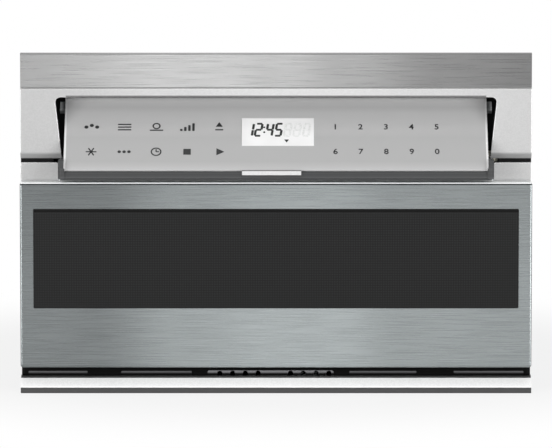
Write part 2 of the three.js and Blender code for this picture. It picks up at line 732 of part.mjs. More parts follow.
function rearPanel() {
  const half = CASE_INNER_HALF - BASE_SHEET - 2 * SEAT;
  const back = -CASE_FRONT - BASE_SHEET - SEAT;
  const holes = [];
  const rows = 9;
  for (let row = 0; row < rows; row += 1) {
    const rise = (row - (rows - 1) / 2) * VENT_SLOT_PITCH;
    const reach = Math.sqrt(Math.max(0, FAN_RADIUS ** 2 - rise ** 2));
    const z = FAN_LEVEL + rise;
    holes.push(
      opening(
        rectangle(
          FAN_X - reach,
          FAN_X + reach,
          z - VENT_SLOT_WIDTH / 2,
          z + VENT_SLOT_WIDTH / 2,
          VENT_SLOT_WIDTH / 2,
        ),
      ),
    );
  }
  const sheet = outline(
    rectangle(-half, half, BASE_SHEET + SEAT, CASE_HEIGHT - CASE_SHEET - SEAT, 2),
    ...holes,
  );
  const gland = alongY(disc(GLAND_X, GLAND_LEVEL, GLAND_RADIUS), back - 5, back + 5, 10);
  return part("rear_panel", cut(alongY(sheet, back - BASE_SHEET, back, 1), gland), galvanised());
}

function cordGland() {
  const back = -CASE_FRONT - BASE_SHEET - SEAT;
  const bore = 4.2;
  const flange = 12;
  const profile = [
    [bore, -8],
    [GLAND_RADIUS - SEAT, -8],
    [GLAND_RADIUS - SEAT, SEAT],
    [flange, SEAT],
    [flange, 3],
    [bore + 2, 7],
    [bore, 7],
    [bore, -8],
  ].map(([radius, height]) => new THREE.Vector2(radius, height));
  const geometry = new THREE.LatheGeometry(profile, 20).translate(GLAND_X, back, GLAND_LEVEL);
  return part("cord_gland", geometry, blackMoulding());
}

// ---------------------------------------------------------------- cooking box

const ANTENNA_SETBACK = 190;
const ANTENNA_Y = CASE_FRONT + ANTENNA_SETBACK;
const FEED_RADIUS = 22;
const GUIDE_HALF = 40;
const GUIDE_HEIGHT = 36;
const GUIDE_WALL = 1.5;
const GUIDE_LEAD = 45;
const GUIDE_OVERHANG = 60;
const LAUNCH_SETBACK = 42;
const LAUNCH_RADIUS = 14;
const GUIDE_FRONT = ANTENNA_Y - GUIDE_LEAD;
const GUIDE_BACK = CAVITY_BACK + GUIDE_OVERHANG;
const LAUNCH_Y = GUIDE_BACK - LAUNCH_SETBACK;
const STIRRER_SHAFT_RADIUS = 3;
const CAVITY_TOP = CAVITY_CEILING + CAVITY_WALL;

function ovenCavity() {
  const outer = CAVITY_WALL;
  const body = alongY(
    outline(
      rectangle(
        -CAVITY_HALF - outer,
        CAVITY_HALF + outer,
        CAVITY_FLOOR - outer,
        CAVITY_CEILING + outer,
        CAVITY_RADIUS,
      ),
    ),
    CASE_FRONT,
    CAVITY_BACK,
    2,
  );
  const hollow = alongY(
    outline(
      rectangle(-CAVITY_HALF, CAVITY_HALF, CAVITY_FLOOR, CAVITY_CEILING, CAVITY_RADIUS - outer),
    ),
    CASE_FRONT - 1,
    CAVITY_BACK - CAVITY_WALL,
    2,
  );
  const feed = alongZ(disc(0, ANTENNA_Y, FEED_RADIUS), CAVITY_CEILING - 2, CAVITY_TOP + 2, 8);
  return part("oven_cavity", cut(body, hollow, feed), enamel());
}

function waveguide() {
  const bottom = CAVITY_TOP;
  const body = block(-GUIDE_HALF, GUIDE_HALF, GUIDE_FRONT, GUIDE_BACK, bottom, bottom + GUIDE_HEIGHT);
  const hollow = block(
    -GUIDE_HALF + GUIDE_WALL,
    GUIDE_HALF - GUIDE_WALL,
    GUIDE_FRONT + GUIDE_WALL,
    GUIDE_BACK - GUIDE_WALL,
    bottom + GUIDE_WALL,
    bottom + GUIDE_HEIGHT - GUIDE_WALL,
  );
  const feed = alongZ(disc(0, ANTENNA_Y, FEED_RADIUS), bottom - 1, bottom + GUIDE_WALL + 1, 8);
  const shaftHole = alongZ(
    disc(0, ANTENNA_Y, STIRRER_SHAFT_RADIUS + 1),
    bottom + GUIDE_HEIGHT - GUIDE_WALL - 1,
    bottom + GUIDE_HEIGHT + 1,
    6,
  );
  const launcher = alongZ(
    disc(0, LAUNCH_Y, LAUNCH_RADIUS),
    bottom + GUIDE_HEIGHT - GUIDE_WALL - 1,
    bottom + GUIDE_HEIGHT + 1,
    8,
  );
  return part("waveguide", cut(body, hollow, feed, shaftHole, launcher), aluminium());
}

const TUBE_HALF_WIDTH = 46;
const TUBE_HALF_DEPTH = 38;
const TUBE_HEIGHT = 62;
const TUBE_SHEET = 2;
const ANODE_RADIUS = 20;
const FIN_INSET = 6;
const FIN_FIRST = 10;
const FIN_PITCH = 7;
const FIN_SHEET = 1.5;
const FINS = 7;
const PROBE_RADIUS = 9;

function magnetron() {
  const y = LAUNCH_Y;
  const bottom = CAVITY_TOP + GUIDE_HEIGHT + SEAT;
  const top = bottom + TUBE_HEIGHT;
  const layer = (inset, z0, z1) =>
    block(
      -TUBE_HALF_WIDTH + inset,
      TUBE_HALF_WIDTH - inset,
      y - TUBE_HALF_DEPTH + inset,
      y + TUBE_HALF_DEPTH - inset,
      z0,
      z1,
    );
  const fins = [];
  for (let fin = 0; fin < FINS; fin += 1) {
    const z = bottom + FIN_FIRST + fin * FIN_PITCH;
    fins.push(layer(FIN_INSET, z, z + FIN_SHEET));
  }
  const anode = alongZ(disc(0, y, ANODE_RADIUS), bottom + 1, top - 1, 6);
  const legs = Object.values(sides).map((side) =>
    sideBlock(
      side,
      TUBE_HALF_WIDTH - TUBE_SHEET,
      TUBE_HALF_WIDTH,
      y - TUBE_HALF_DEPTH,
      y + TUBE_HALF_DEPTH,
      bottom,
      top,
    ),
  );
  const probe = alongZ(disc(0, y, PROBE_RADIUS), bottom - GUIDE_HEIGHT * 0.7, bottom + 1.5, 6);
  const feet = layer(0, bottom, bottom + TUBE_SHEET);
  const roof = layer(0, top - TUBE_SHEET, top);
  return part("magnetron", join(feet, roof, anode, probe, ...fins, ...legs), aluminium());
}

const COVER_HALF = 70;
const COVER_DROP = 14;
const COVER_SHEET = 2;
const COVER_RIM = 4;

function antennaCover() {
  const square = (inset, radius) =>
    rectangle(
      -COVER_HALF + inset,
      COVER_HALF - inset,
      ANTENNA_Y - COVER_HALF + inset,
      ANTENNA_Y + COVER_HALF - inset,
      radius,
    );
  const bottom = CAVITY_CEILING - COVER_DROP;
  const rim = outline(square(0, 10), opening(square(COVER_RIM, 8)));
  const cover = join(
    alongZ(outline(square(0, 10)), bottom, bottom + COVER_SHEET),
    alongZ(rim, bottom, CAVITY_CEILING - SEAT),
  );
  return part("antenna_cover", cover, paleMoulding());
}

const STIRRER_MOTOR_RADIUS = 24;
const STIRRER_MOTOR_HEIGHT = 14;
const STIRRER_EAR_REACH = 34;
const STIRRER_EAR_HALF_WIDTH = 6;
const EAR_SHEET = 1.5;

function antennaMotor() {
  const bottom = CAVITY_TOP + GUIDE_HEIGHT + SEAT;
  const body = alongZ(disc(0, ANTENNA_Y, STIRRER_MOTOR_RADIUS), bottom, bottom + STIRRER_MOTOR_HEIGHT, 8);
  const strip = rectangle(
    -STIRRER_EAR_REACH,
    STIRRER_EAR_REACH,
    ANTENNA_Y - STIRRER_EAR_HALF_WIDTH,
    ANTENNA_Y + STIRRER_EAR_HALF_WIDTH,
    STIRRER_EAR_HALF_WIDTH - 1,
  );
  const ears = alongZ(outline(strip), bottom, bottom + EAR_SHEET, 2);
  const bore = alongZ(
    disc(0, ANTENNA_Y, STIRRER_SHAFT_RADIUS + SEAT),
    bottom - 1,
    bottom + STIRRER_MOTOR_HEIGHT * 0.6,
    6,
  );
  return part("antenna_motor", cut(join(body, ears), bore), galvanised());
}

const BLADE_REACH = 55;
const BLADE_HALF_WIDTH = 22;
const BLADE_DROP = 9;
const BLADE_SHEET = 1.5;

function rotatingAntenna() {
  const bottom = CAVITY_CEILING - BLADE_DROP;
  const shaftTop = CAVITY_TOP + GUIDE_HEIGHT + STIRRER_MOTOR_HEIGHT * 0.4;
  const shaft = alongZ(disc(0, ANTENNA_Y, STIRRER_SHAFT_RADIUS), bottom + 1, shaftTop, 6);
  const waist = BLADE_HALF_WIDTH * 0.5;
  const tail = BLADE_REACH * 0.7;
  const points = [
    [-waist, ANTENNA_Y - waist, 4],
    [BLADE_REACH, ANTENNA_Y - BLADE_HALF_WIDTH, 8],
    [BLADE_REACH, ANTENNA_Y + BLADE_HALF_WIDTH, 8],
    [-waist, ANTENNA_Y + waist, 4],
    [-tail, ANTENNA_Y + waist * 0.7, 3],
    [-tail, ANTENNA_Y - waist * 0.7, 3],
  ];
  const slot = opening(
    rectangle(BLADE_REACH * 0.45, BLADE_REACH * 0.8, ANTENNA_Y - waist * 0.7, ANTENNA_Y + waist * 0.7, 3),
  );
  const plate = alongZ(outline(points, slot), bottom, bottom + BLADE_SHEET);
  return part("rotating_antenna", join(shaft, plate), aluminium());
}

// ---------------------------------------------------------------- drawer front

function doorSkin() {
  const half = FRONT_WIDTH / 2;
  const face = ahead(DOOR_LEAD);
  const shape = outline(
    rectangle(-half + DOOR_EDGE, half - DOOR_EDGE, DOOR_BOTTOM + DOOR_EDGE, DOOR_TOP - DOOR_EDGE, 1),
  );
  const depth = DOOR_BACK - face + 4;
  const body = new THREE.ExtrudeGeometry(shape, {
    depth,
    bevelEnabled: true,
    bevelSize: DOOR_EDGE,
    bevelThickness: DOOR_EDGE,
    bevelSegments: 3,
    curveSegments: 2,
  })
    .rotateX(Math.PI / 2)
    .translate(0, face + DOOR_EDGE + depth, 0);
  const hollow = block(
    -half + DOOR_SKIN,
    half - DOOR_SKIN,
    face + DOOR_SKIN,
    DOOR_BACK + 20,
    DOOR_BOTTOM + DOOR_SKIN,
    DOOR_TOP - DOOR_SKIN,
  );
  const behind = block(-half - 5, half + 5, DOOR_BACK, DOOR_BACK + 40, DOOR_BOTTOM - 5, DOOR_TOP + 5);
  const edge = WINDOW_WIDTH / 2 + SEAT;
  const window = alongY(
    outline(rectangle(-edge, edge, WINDOW_BOTTOM - SEAT, WINDOW_TOP + SEAT, 1.5)),
    face - 5,
    face + DOOR_SKIN + 1,
  );
  return part("door_skin", cut(body, hollow, behind, window), brushedSteel());
}

const GLASS_FACE = ahead(DOOR_LEAD - GLASS_INSET);
const GLASS_BACK = GLASS_FACE + GLASS_THICKNESS;
const SIGHT_HALF = WINDOW_WIDTH / 2 - SIGHT_MARGIN;
const SIGHT_BOTTOM = WINDOW_BOTTOM + 4;
const SIGHT_TOP = WINDOW_TOP - 4;

function doorGlass() {
  const half = WINDOW_WIDTH / 2;
  const pane = outline(rectangle(-half, half, WINDOW_BOTTOM, WINDOW_TOP, 1.2));
  return part("door_glass", alongY(pane, GLASS_FACE, GLASS_BACK), darkGlass());
}

function doorScreen() {
  const front = GLASS_BACK + SEAT;
  const sheet = outline(
    rectangle(-SIGHT_HALF + SEAT, SIGHT_HALF - SEAT, SIGHT_BOTTOM + SEAT, SIGHT_TOP - SEAT, 1),
  );
  return part("door_screen", alongY(sheet, front, front + SCREEN_SHEET), blackSheet());
}

function doorCarrier() {
  const half = FRONT_WIDTH / 2 - DOOR_SKIN - SEAT;
  const bottom = DOOR_BOTTOM + DOOR_SKIN + SEAT;
  const top = DOOR_TOP - DOOR_SKIN - SEAT;
  const front = ahead(DOOR_LEAD) + DOOR_SKIN + SEAT;
  const back = DOOR_BACK - CHOKE_SHEET - SEAT;
  const body = alongY(outline(rectangle(-half, half, bottom, top, 2)), front, back);
  const edge = WINDOW_WIDTH / 2 + SEAT;
  const pocket = block(
    -edge,
    edge,
    front - 1,
    GLASS_BACK + SEAT,
    WINDOW_BOTTOM - SEAT,
    WINDOW_TOP + SEAT,
  );
  const sight = block(-SIGHT_HALF, SIGHT_HALF, front - 1, back + 1, SIGHT_BOTTOM, SIGHT_TOP);
  return part("door_carrier", cut(body, pocket, sight), blackMoulding());
}

function chokePanel() {
  const half = FRONT_WIDTH / 2 - DOOR_SKIN - 2 * SEAT;
  const inner = CHOKE_HALF - CHOKE_RIM;
  const sightBottom = CHOKE_BOTTOM + CHOKE_RIM;
  const sightTop = CHOKE_TOP - CHOKE_RIM;
  const sight = () => opening(rectangle(-inner, inner, sightBottom, sightTop, 4));
  const plate = outline(
    rectangle(-half, half, DOOR_BOTTOM + DOOR_SKIN + 2 * SEAT, DOOR_TOP - DOOR_SKIN - 2 * SEAT, 2),
    sight(),
  );
  const rim = outline(rectangle(-CHOKE_HALF, CHOKE_HALF, CHOKE_BOTTOM, CHOKE_TOP, 8), sight());
  const solid = join(
    alongY(plate, DOOR_BACK - CHOKE_SHEET, DOOR_BACK),
    alongY(rim, DOOR_BACK - CHOKE_SHEET / 2, CHOKE_BACK),
  );
  return part("choke_panel", solid, blackMoulding());
}

function innerGlass() {
  const inner = CHOKE_HALF - CHOKE_RIM - SEAT;
  const pane = outline(
    rectangle(-inner, inner, CHOKE_BOTTOM + CHOKE_RIM + SEAT, CHOKE_TOP - CHOKE_RIM - SEAT, 4),
  );
  const back = CHOKE_BACK - 2;
  return part("inner_glass", alongY(pane, back - INNER_GLASS, back), clearGlass());
}

// ---------------------------------------------------------------- tub, slides and drive

const TUB_FRONT = CHOKE_BACK + SEAT;
const TUB_BACK = TUB_FRONT + TUB_LENGTH;

function drawerTub() {
  const body = alongZ(
    outline(rectangle(-TUB_HALF, TUB_HALF, TUB_FRONT, TUB_BACK, TUB_RADIUS)),
    TUB_BOTTOM,
    TUB_TOP,
    2,
  );
  const hollow = alongZ(
    outline(
      rectangle(
        -TUB_HALF + TUB_WALL,
        TUB_HALF - TUB_WALL,
        TUB_FRONT + TUB_WALL,
        TUB_BACK - TUB_WALL,
        TUB_RADIUS - TUB_WALL,
      ),
    ),
    TUB_BOTTOM + TUB_FLOOR,
    TUB_TOP + 1,
    2,
  );
  const recess = alongZ(
    outline(trayOutline(SEAT)),
    TUB_BOTTOM + TUB_FLOOR - TRAY_RECESS,
    TUB_BOTTOM + TUB_FLOOR + 1,
    2,
  );
  return part("drawer_tub", cut(body, hollow, recess), paleMoulding());
}

function trayOutline(margin) {
  return rectangle(
    -TUB_HALF + TRAY_MARGIN - margin,
    TUB_HALF - TRAY_MARGIN + margin,
    TUB_FRONT + TRAY_MARGIN - margin,
    TUB_BACK - TRAY_MARGIN + margin,
    10,
  );
}

function drawerTray() {
  const bottom = TUB_BOTTOM + TUB_FLOOR - TRAY_RECESS + SEAT;
  return part(
    "drawer_tray",
    alongZ(outline(trayOutline(0)), bottom, bottom + TRAY_THICKNESS, 2),
    ceramic(),
  );
}

// A C-section slide member with returned lips, open towards the middle of the drawer.
function railSection(side, web, halfHeight, lipEnd, returned) {
  const t = RAIL_SHEET;
  const half = halfHeight;
  return outline(
    [
      [web, -half],
      [web, half],
      [lipEnd, half],
      [lipEnd, half - returned],
      [lipEnd + t, half - returned],
      [lipEnd + t, half - t],
      [web - t, half - t],
      [web - t, -half + t],
      [lipEnd + t, -half + t],
      [lipEnd + t, -half + returned],
      [lipEnd, -half + returned],
      [lipEnd, -half],
    ].map(([x, z]) => [side * x, RAIL_LEVEL + z]),
  );
}

const RAIL_STEP = RAIL_SHEET + SEAT;
const RAIL_FRONT = CASE_FRONT + SEAT;

// The members nest: each is one step inside the one that carries it.
function railMember(name, step, front, length) {
  const make = (side) =>
    alongY(
      railSection(
        side,
        CASE_INNER_HALF - SEAT - step * RAIL_STEP,
        RAIL_HALF_HEIGHT - step * RAIL_STEP,
        CASE_INNER_HALF - SEAT - RAIL_DEPTH + step * RAIL_STEP,
        RAIL_RETURN,
      ),
      front,
      front + length,
    );
  return pair(name, make, machinedSteel);
}

const RACK_FRONT = DOOR_BACK + SEAT;

function racks() {
  const halfTooth = RACK_PITCH / 4 - BACKLASH / 2;
  const lean = Math.tan(PRESSURE_ANGLE);
  const root = RACK_PITCH_LEVEL + 1.25 * GEAR_MODULE;
  const tip = RACK_PITCH_LEVEL - GEAR_MODULE;
  const atRoot = halfTooth + 1.25 * GEAR_MODULE * lean;
  const atTip = halfTooth - GEAR_MODULE * lean;
  const teethBefore = Math.floor((SHAFT_Y - RACK_FRONT - 2 * RACK_PITCH) / RACK_PITCH);
  const points = [[RACK_FRONT, RACK_TOP]];
  points.push([RACK_FRONT, root]);
  for (let tooth = -teethBefore; tooth < RACK_TEETH - teethBefore; tooth += 1) {
    const y = SHAFT_Y + tooth * RACK_PITCH;
    points.push([y - atRoot, root], [y - atTip, tip], [y + atTip, tip], [y + atRoot, root]);
  }
  const end = SHAFT_Y + (RACK_TEETH - teethBefore) * RACK_PITCH;
  points.push([end, root], [end, RACK_TOP]);
  const profile = outline(points);
  const make = (side) =>
    alongX(
      profile,
      side * RACK_HALF_SPACING - RACK_WIDTH / 2,
      side * RACK_HALF_SPACING + RACK_WIDTH / 2,
    );
  return pair("rack", make, nylon);
}

function driveShaft() {
  const half = RACK_HALF_SPACING + SHAFT_OVERHANG;
  const gear = draw(new THREE.Shape(), gearPoints(DRIVE_TEETH, GEAR_MODULE));
  const rod = alongX(disc(0, 0, SHAFT_RADIUS), -half, half, 6);
  const width = RACK_WIDTH + 2;
  const pinion = (x) => alongX(gear, x - width / 2, x + width / 2);
  const geometry = join(rod, pinion(-RACK_HALF_SPACING), pinion(RACK_HALF_SPACING));
  const mesh = part("drive_shaft", geometry, machinedSteel());
  // The pinions' space stands straight up, under the tooth that each rack has there.
  mesh.rotation.x = Math.PI / 2;
  mesh.position.set(0, SHAFT_Y, SHAFT_LEVEL);
  return mesh;
}

const BRACKET_FOOT = 24;
const BRACKET_WAIST = 12;
const BRACKET_HEAD = 30;
const RACK_LAP = 5;

// Each bracket carries one end of the shaft and the channel that holds the rack down on its pinion.
function driveBrackets() {
  const near = RACK_WIDTH / 2 + SEAT;
  const top = CAVITY_FLOOR - CAVITY_WALL;
  const make = (side) => {
    const x = side * RACK_HALF_SPACING;
    const channel = outline([
      [x - near - BRACKET_SHEET / 2, RACK_TOP - RACK_LAP],
      [x - near, RACK_TOP - RACK_LAP],
      [x - near, RACK_TOP + SEAT],
      [x + near, RACK_TOP + SEAT],
      [x + near, RACK_TOP - RACK_LAP],
      [x + near + BRACKET_SHEET / 2, RACK_TOP - RACK_LAP],
      [x + near + BRACKET_SHEET / 2, top],
      [x - near - BRACKET_SHEET / 2, top],
    ]);
    const web = outline([
      [SHAFT_Y - BRACKET_FOOT, BASE_SHEET],
      [SHAFT_Y + BRACKET_FOOT, BASE_SHEET],
      [SHAFT_Y + BRACKET_FOOT, BASE_SHEET + BRACKET_SHEET, 3],
      [SHAFT_Y + BRACKET_WAIST, SHAFT_LEVEL, 5],
      [SHAFT_Y + BRACKET_HEAD, RACK_TOP, 8],
      [SHAFT_Y + BRACKET_HEAD, top],
      [SHAFT_Y - BRACKET_HEAD, top],
      [SHAFT_Y - BRACKET_HEAD, RACK_TOP, 8],
      [SHAFT_Y - BRACKET_WAIST, SHAFT_LEVEL, 5],
      [SHAFT_Y - BRACKET_FOOT, BASE_SHEET + BRACKET_SHEET, 3],
    ]);
    const inner = RACK_HALF_SPACING + near + BRACKET_SHEET / 2 - 1;
    const [x0, x1] = [side * inner, side * (inner + BRACKET_SHEET)].sort((a, b) => a - b);
    const bearing = sideTube(side, inner - 5, inner + 10, SHAFT_Y, SHAFT_LEVEL, SHAFT_RADIUS + SEAT);
    const guide = alongY(channel, SHAFT_Y - BRACKET_HEAD, SHAFT_Y + BRACKET_HEAD);
    const body = join(guide, alongX(web, x0, x1, 1));
    return cut(body, bearing);
  };
  return pair("drive_bracket", make, galvanised);
}

const GEARBOX_X = 20;
const GEARBOX_WIDTH = 32;
const GEARBOX_LEAD = 17;
const GEARBOX_REACH = 46;
const GEARBOX_TOP = 44;
const CAN_RADIUS = 18;
const CAN_LENGTH = 66;
const CAN_SETBACK = 24;
const CAN_LEVEL = 24;

function drawerGearmotor() {
  const canX = GEARBOX_X + GEARBOX_WIDTH;
  const gearbox = alongX(
    outline([
      [SHAFT_Y - GEARBOX_LEAD, BASE_SHEET, 2],
      [SHAFT_Y + GEARBOX_REACH, BASE_SHEET, 2],
      [SHAFT_Y + GEARBOX_REACH, GEARBOX_TOP, 6],
      [SHAFT_Y - GEARBOX_LEAD, GEARBOX_TOP, 10],
    ]),
    GEARBOX_X,
    canX,
  );
  const bearing = sideTube(1, GEARBOX_X - 10, canX + 10, SHAFT_Y, SHAFT_LEVEL, SHAFT_RADIUS + SEAT);
  const can = alongX(disc(SHAFT_Y + CAN_SETBACK, CAN_LEVEL, CAN_RADIUS), canX, canX + CAN_LENGTH, 8);
  const boss = alongX(
    disc(SHAFT_Y + CAN_SETBACK, CAN_LEVEL, CAN_RADIUS * 0.3),
    canX + CAN_LENGTH - 1,
    canX + CAN_LENGTH + 4,
    6,
  );
  return part("drawer_gearmotor", cut(join(gearbox, can, boss), bearing), galvanised());
}

function latchHooks() {
  const make = (side) => {
    const profile = outline([
      [DOOR_BACK + SEAT, HOOK_LEVEL],
      [DOOR_BACK + SEAT, HOOK_LEVEL + HOOK_HEIGHT],
      [CASE_FRONT + HOOK_REACH - HOOK_NOSE, HOOK_LEVEL + HOOK_HEIGHT, 2],
      [CASE_FRONT + HOOK_REACH, HOOK_LEVEL + HOOK_HEIGHT / 2, 1],
      [CASE_FRONT + HOOK_REACH, HOOK_LEVEL, 1],
      [CASE_FRONT + HOOK_REACH - HOOK_NOSE + 2, HOOK_LEVEL],
      [CASE_FRONT + HOOK_REACH - HOOK_NOSE, HOOK_LEVEL + HOOK_HEIGHT / 4],
      [CASE_FRONT + HOOK_NOSE, HOOK_LEVEL + HOOK_HEIGHT / 4],
    ]);
    const x = side * HOOK_SPACING;
    return alongX(profile, x - HOOK_HALF_WIDTH, x + HOOK_HALF_WIDTH);
  };
  return pair("latch_hook", make, blackMoulding);
}

const BUTTON_RADIUS = 2;
const BUTTON_LENGTH = 6;
const SWITCH_LENGTH = 36;
const SWITCH_HALF_WIDTH = 6;
const SWITCH_HALF_HEIGHT = 14;
const SWITCH_MOUNT_BAND = 4;
const SWITCH_RISE = 4;
const SWITCH_FRONT = CASE_FRONT + HOOK_REACH + BUTTON_LENGTH;
const SWITCH_BACK = SWITCH_FRONT + SWITCH_LENGTH;

function interlockSwitches() {
  const make = (side) => {
    const x = side * HOOK_SPACING;
    const z = HOOK_LEVEL + SWITCH_RISE;
    const mountHalf = SWITCH_HALF_HEIGHT + SWITCH_MOUNT_BAND;
    const body = block(
      x - SWITCH_HALF_WIDTH,
      x + SWITCH_HALF_WIDTH,
      SWITCH_FRONT,
      SWITCH_BACK,
      z - SWITCH_HALF_HEIGHT,
      z + SWITCH_HALF_HEIGHT,
    );
    const mount = sideBlock(
      side,
      HOOK_SPACING + SWITCH_HALF_WIDTH - 1,
      CASE_INNER_HALF - SEAT,
      SWITCH_FRONT + SWITCH_HALF_WIDTH,
      SWITCH_BACK,
      z - mountHalf,
      z + mountHalf,
    );
    const button = alongY(disc(x, z, BUTTON_RADIUS), CASE_FRONT + HOOK_REACH + SEAT, SWITCH_FRONT + 1, 5);
    return join(body, mount, button);
  };
  return pair("interlock_switch", make, blackMoulding);
}

// ---------------------------------------------------------------- electrics

const FAN_SETBACK = 72;
const FAN_FRAME_BAND = 10;
const FAN_TIP_GAP = 2;
const FAN_SHAFT_RADIUS = 3;
const FAN_ARM_WIDTH = 8;
const FAN_ARM_THICKNESS = 4;
const FAN_MOTOR_RADIUS = 20;
const FAN_MOTOR_LENGTH = 34;
const FAN_HUB_RADIUS = 13;
const FAN_HUB_LENGTH = 16;
const FAN_BLADE_WIDTH = 18;
const FAN_BLADE_SHEET = 2;
const FAN_BLADES = 7;
const FAN_FRONT = CAVITY_BACK + FAN_SETBACK;

function fanShroud() {
  const half = FAN_RADIUS + FAN_FRAME_BAND;
  const ring = outline(
    rectangle(FAN_X - half, FAN_X + half, FAN_LEVEL - half, FAN_LEVEL + half, 6),
    circle(FAN_X, FAN_LEVEL, FAN_RADIUS + FAN_TIP_GAP),
  );
  const rear = -CASE_FRONT - 2 * BASE_SHEET - 2 * SEAT;
  const bore = alongY(disc(FAN_X, FAN_LEVEL, FAN_SHAFT_RADIUS + 2 + SEAT), FAN_FRONT - 1, rear + 1, 6);
  const arms = [0, 1, 2].map((index) => {
    const reach = FAN_RADIUS + FAN_FRAME_BAND / 2;
    const arm = block(-FAN_ARM_WIDTH / 2, FAN_ARM_WIDTH / 2, 0, reach, 0, FAN_ARM_THICKNESS);
    arm.rotateX(Math.PI / 2).rotateY((index * 2 * Math.PI) / 3);
    return arm.translate(FAN_X, FAN_FRONT + FAN_ARM_THICKNESS, FAN_LEVEL);
  });
  const body = join(alongY(ring, FAN_FRONT, rear, 8), ...arms);
  return part("fan_shroud", cut(body, bore), blackMoulding());
}

function fanMotor() {
  const can = alongY(
    disc(FAN_X, FAN_LEVEL, FAN_MOTOR_RADIUS),
    FAN_FRONT - FAN_MOTOR_LENGTH,
    FAN_FRONT - SEAT,
    8,
  );
  const bore = alongY(
    disc(FAN_X, FAN_LEVEL, FAN_SHAFT_RADIUS + SEAT),
    FAN_FRONT - FAN_MOTOR_LENGTH * 0.4,
    FAN_FRONT,
    6,
  );
  return part("fan_motor", cut(can, bore), galvanised());
}

function coolingFan() {
  const hubFront = FAN_FRONT + 2 * FAN_ARM_THICKNESS;
  const hub = alongY(disc(FAN_X, FAN_LEVEL, FAN_HUB_RADIUS), hubFront, hubFront + FAN_HUB_LENGTH, 6);
  const shaft = alongY(
    disc(FAN_X, FAN_LEVEL, FAN_SHAFT_RADIUS),
    FAN_FRONT - FAN_MOTOR_LENGTH * 0.3,
    hubFront + 2,
    6,
  );
  const blades = [];
  for (let blade = 0; blade < FAN_BLADES; blade += 1) {
    const vane = block(
      -FAN_BLADE_WIDTH / 2,
      FAN_BLADE_WIDTH / 2,
      -FAN_BLADE_SHEET / 2,
      FAN_BLADE_SHEET / 2,
      FAN_HUB_RADIUS * 0.8,
      FAN_RADIUS - FAN_TIP_GAP,
    );
    vane.rotateZ(0.6).rotateY((blade * 2 * Math.PI) / FAN_BLADES);
    blades.push(vane.translate(FAN_X, hubFront + FAN_HUB_LENGTH / 2, FAN_LEVEL));
  }
  return part("cooling_fan", join(hub, shaft, ...blades), paleMoulding());
}

const TRANSFORMER_X = 70;
const TRANSFORMER_SETBACK = 62;
const CORE_HALF_WIDTH = 48;
const CORE_HALF_STACK = 30;
const CORE_HEIGHT = 80;
const CORE_LIFT = 2;
const CORE_LIMB = 16;
const COIL_HALF_WIDTH = 31;
const COIL_HALF_DEPTH = 44;
const COIL_MARGIN = 18;
const FOOT_REACH = 54;

function hvTransformer() {
  const [x, y] = [TRANSFORMER_X, CAVITY_BACK + TRANSFORMER_SETBACK];
  const bottom = BASE_SHEET + CORE_LIFT;
  const top = bottom + CORE_HEIGHT;
  const core = block(
    x - CORE_HALF_WIDTH,
    x + CORE_HALF_WIDTH,
    y - CORE_HALF_STACK,
    y + CORE_HALF_STACK,
    bottom,
    top,
  );
  const windows = Object.values(sides).map((side) =>
    block(
      x + Math.min(side * CORE_LIMB, side * (CORE_HALF_WIDTH - CORE_LIMB)),
      x + Math.max(side * CORE_LIMB, side * (CORE_HALF_WIDTH - CORE_LIMB)),
      y - CORE_HALF_STACK - 1,
      y + CORE_HALF_STACK + 1,
      bottom + CORE_LIMB,
      top - CORE_LIMB,
    ),
  );
  const coils = alongZ(
    outline(
      rectangle(x - COIL_HALF_WIDTH, x + COIL_HALF_WIDTH, y - COIL_HALF_DEPTH, y + COIL_HALF_DEPTH, 12),
    ),
    bottom + COIL_MARGIN,
    top - COIL_MARGIN,
    2,
  );
  const foot = block(
    x - FOOT_REACH,
    x + FOOT_REACH,
    y - CORE_HALF_STACK + 4,
    y + CORE_HALF_STACK - 4,
    BASE_SHEET,
    bottom + 1,
  );
  return part("hv_transformer", join(cut(core, ...windows), coils, foot), galvanised());
}

const CAPACITOR_X = 160;
const CAPACITOR_SETBACK = 70;
const CAPACITOR_HALF_WIDTH = 26;
const CAPACITOR_HALF_DEPTH = 15;
const CAPACITOR_HEIGHT = 92;
const POST_SPACING = 10;
const POST_HALF_WIDTH = 3;
const POST_HALF_SHEET = 1;
const POST_HEIGHT = 10;

function hvCapacitor() {
  const [x, y] = [CAPACITOR_X, CAVITY_BACK + CAPACITOR_SETBACK];
  const top = BASE_SHEET + CAPACITOR_HEIGHT;
  const section = rectangle(
    x - CAPACITOR_HALF_WIDTH,
    x + CAPACITOR_HALF_WIDTH,
    y - CAPACITOR_HALF_DEPTH,
    y + CAPACITOR_HALF_DEPTH,
    CAPACITOR_HALF_DEPTH - 1,
  );
  const posts = Object.values(sides).map((side) =>
    block(
      x + side * POST_SPACING - POST_HALF_WIDTH,
      x + side * POST_SPACING + POST_HALF_WIDTH,
      y - POST_HALF_SHEET,
      y + POST_HALF_SHEET,
      top - 1,
      top + POST_HEIGHT,
    ),
  );
  const can = alongZ(outline(section), BASE_SHEET, top, 4);
  return part("hv_capacitor", join(can, ...posts), aluminium());
}

const BOARD_SIDE_SPACE = 28;
const BOARD_WIDTH = 170;
const BOARD_SETBACK = 110;
const BOARD_DEPTH = 210;
const BOARD_LEFT = -CASE_INNER_HALF + BOARD_SIDE_SPACE;
const BOARD_RIGHT = BOARD_LEFT + BOARD_WIDTH;
const BOARD_FRONT = CASE_FRONT + BOARD_SETBACK;
const BOARD_BACK = BOARD_FRONT + BOARD_DEPTH;

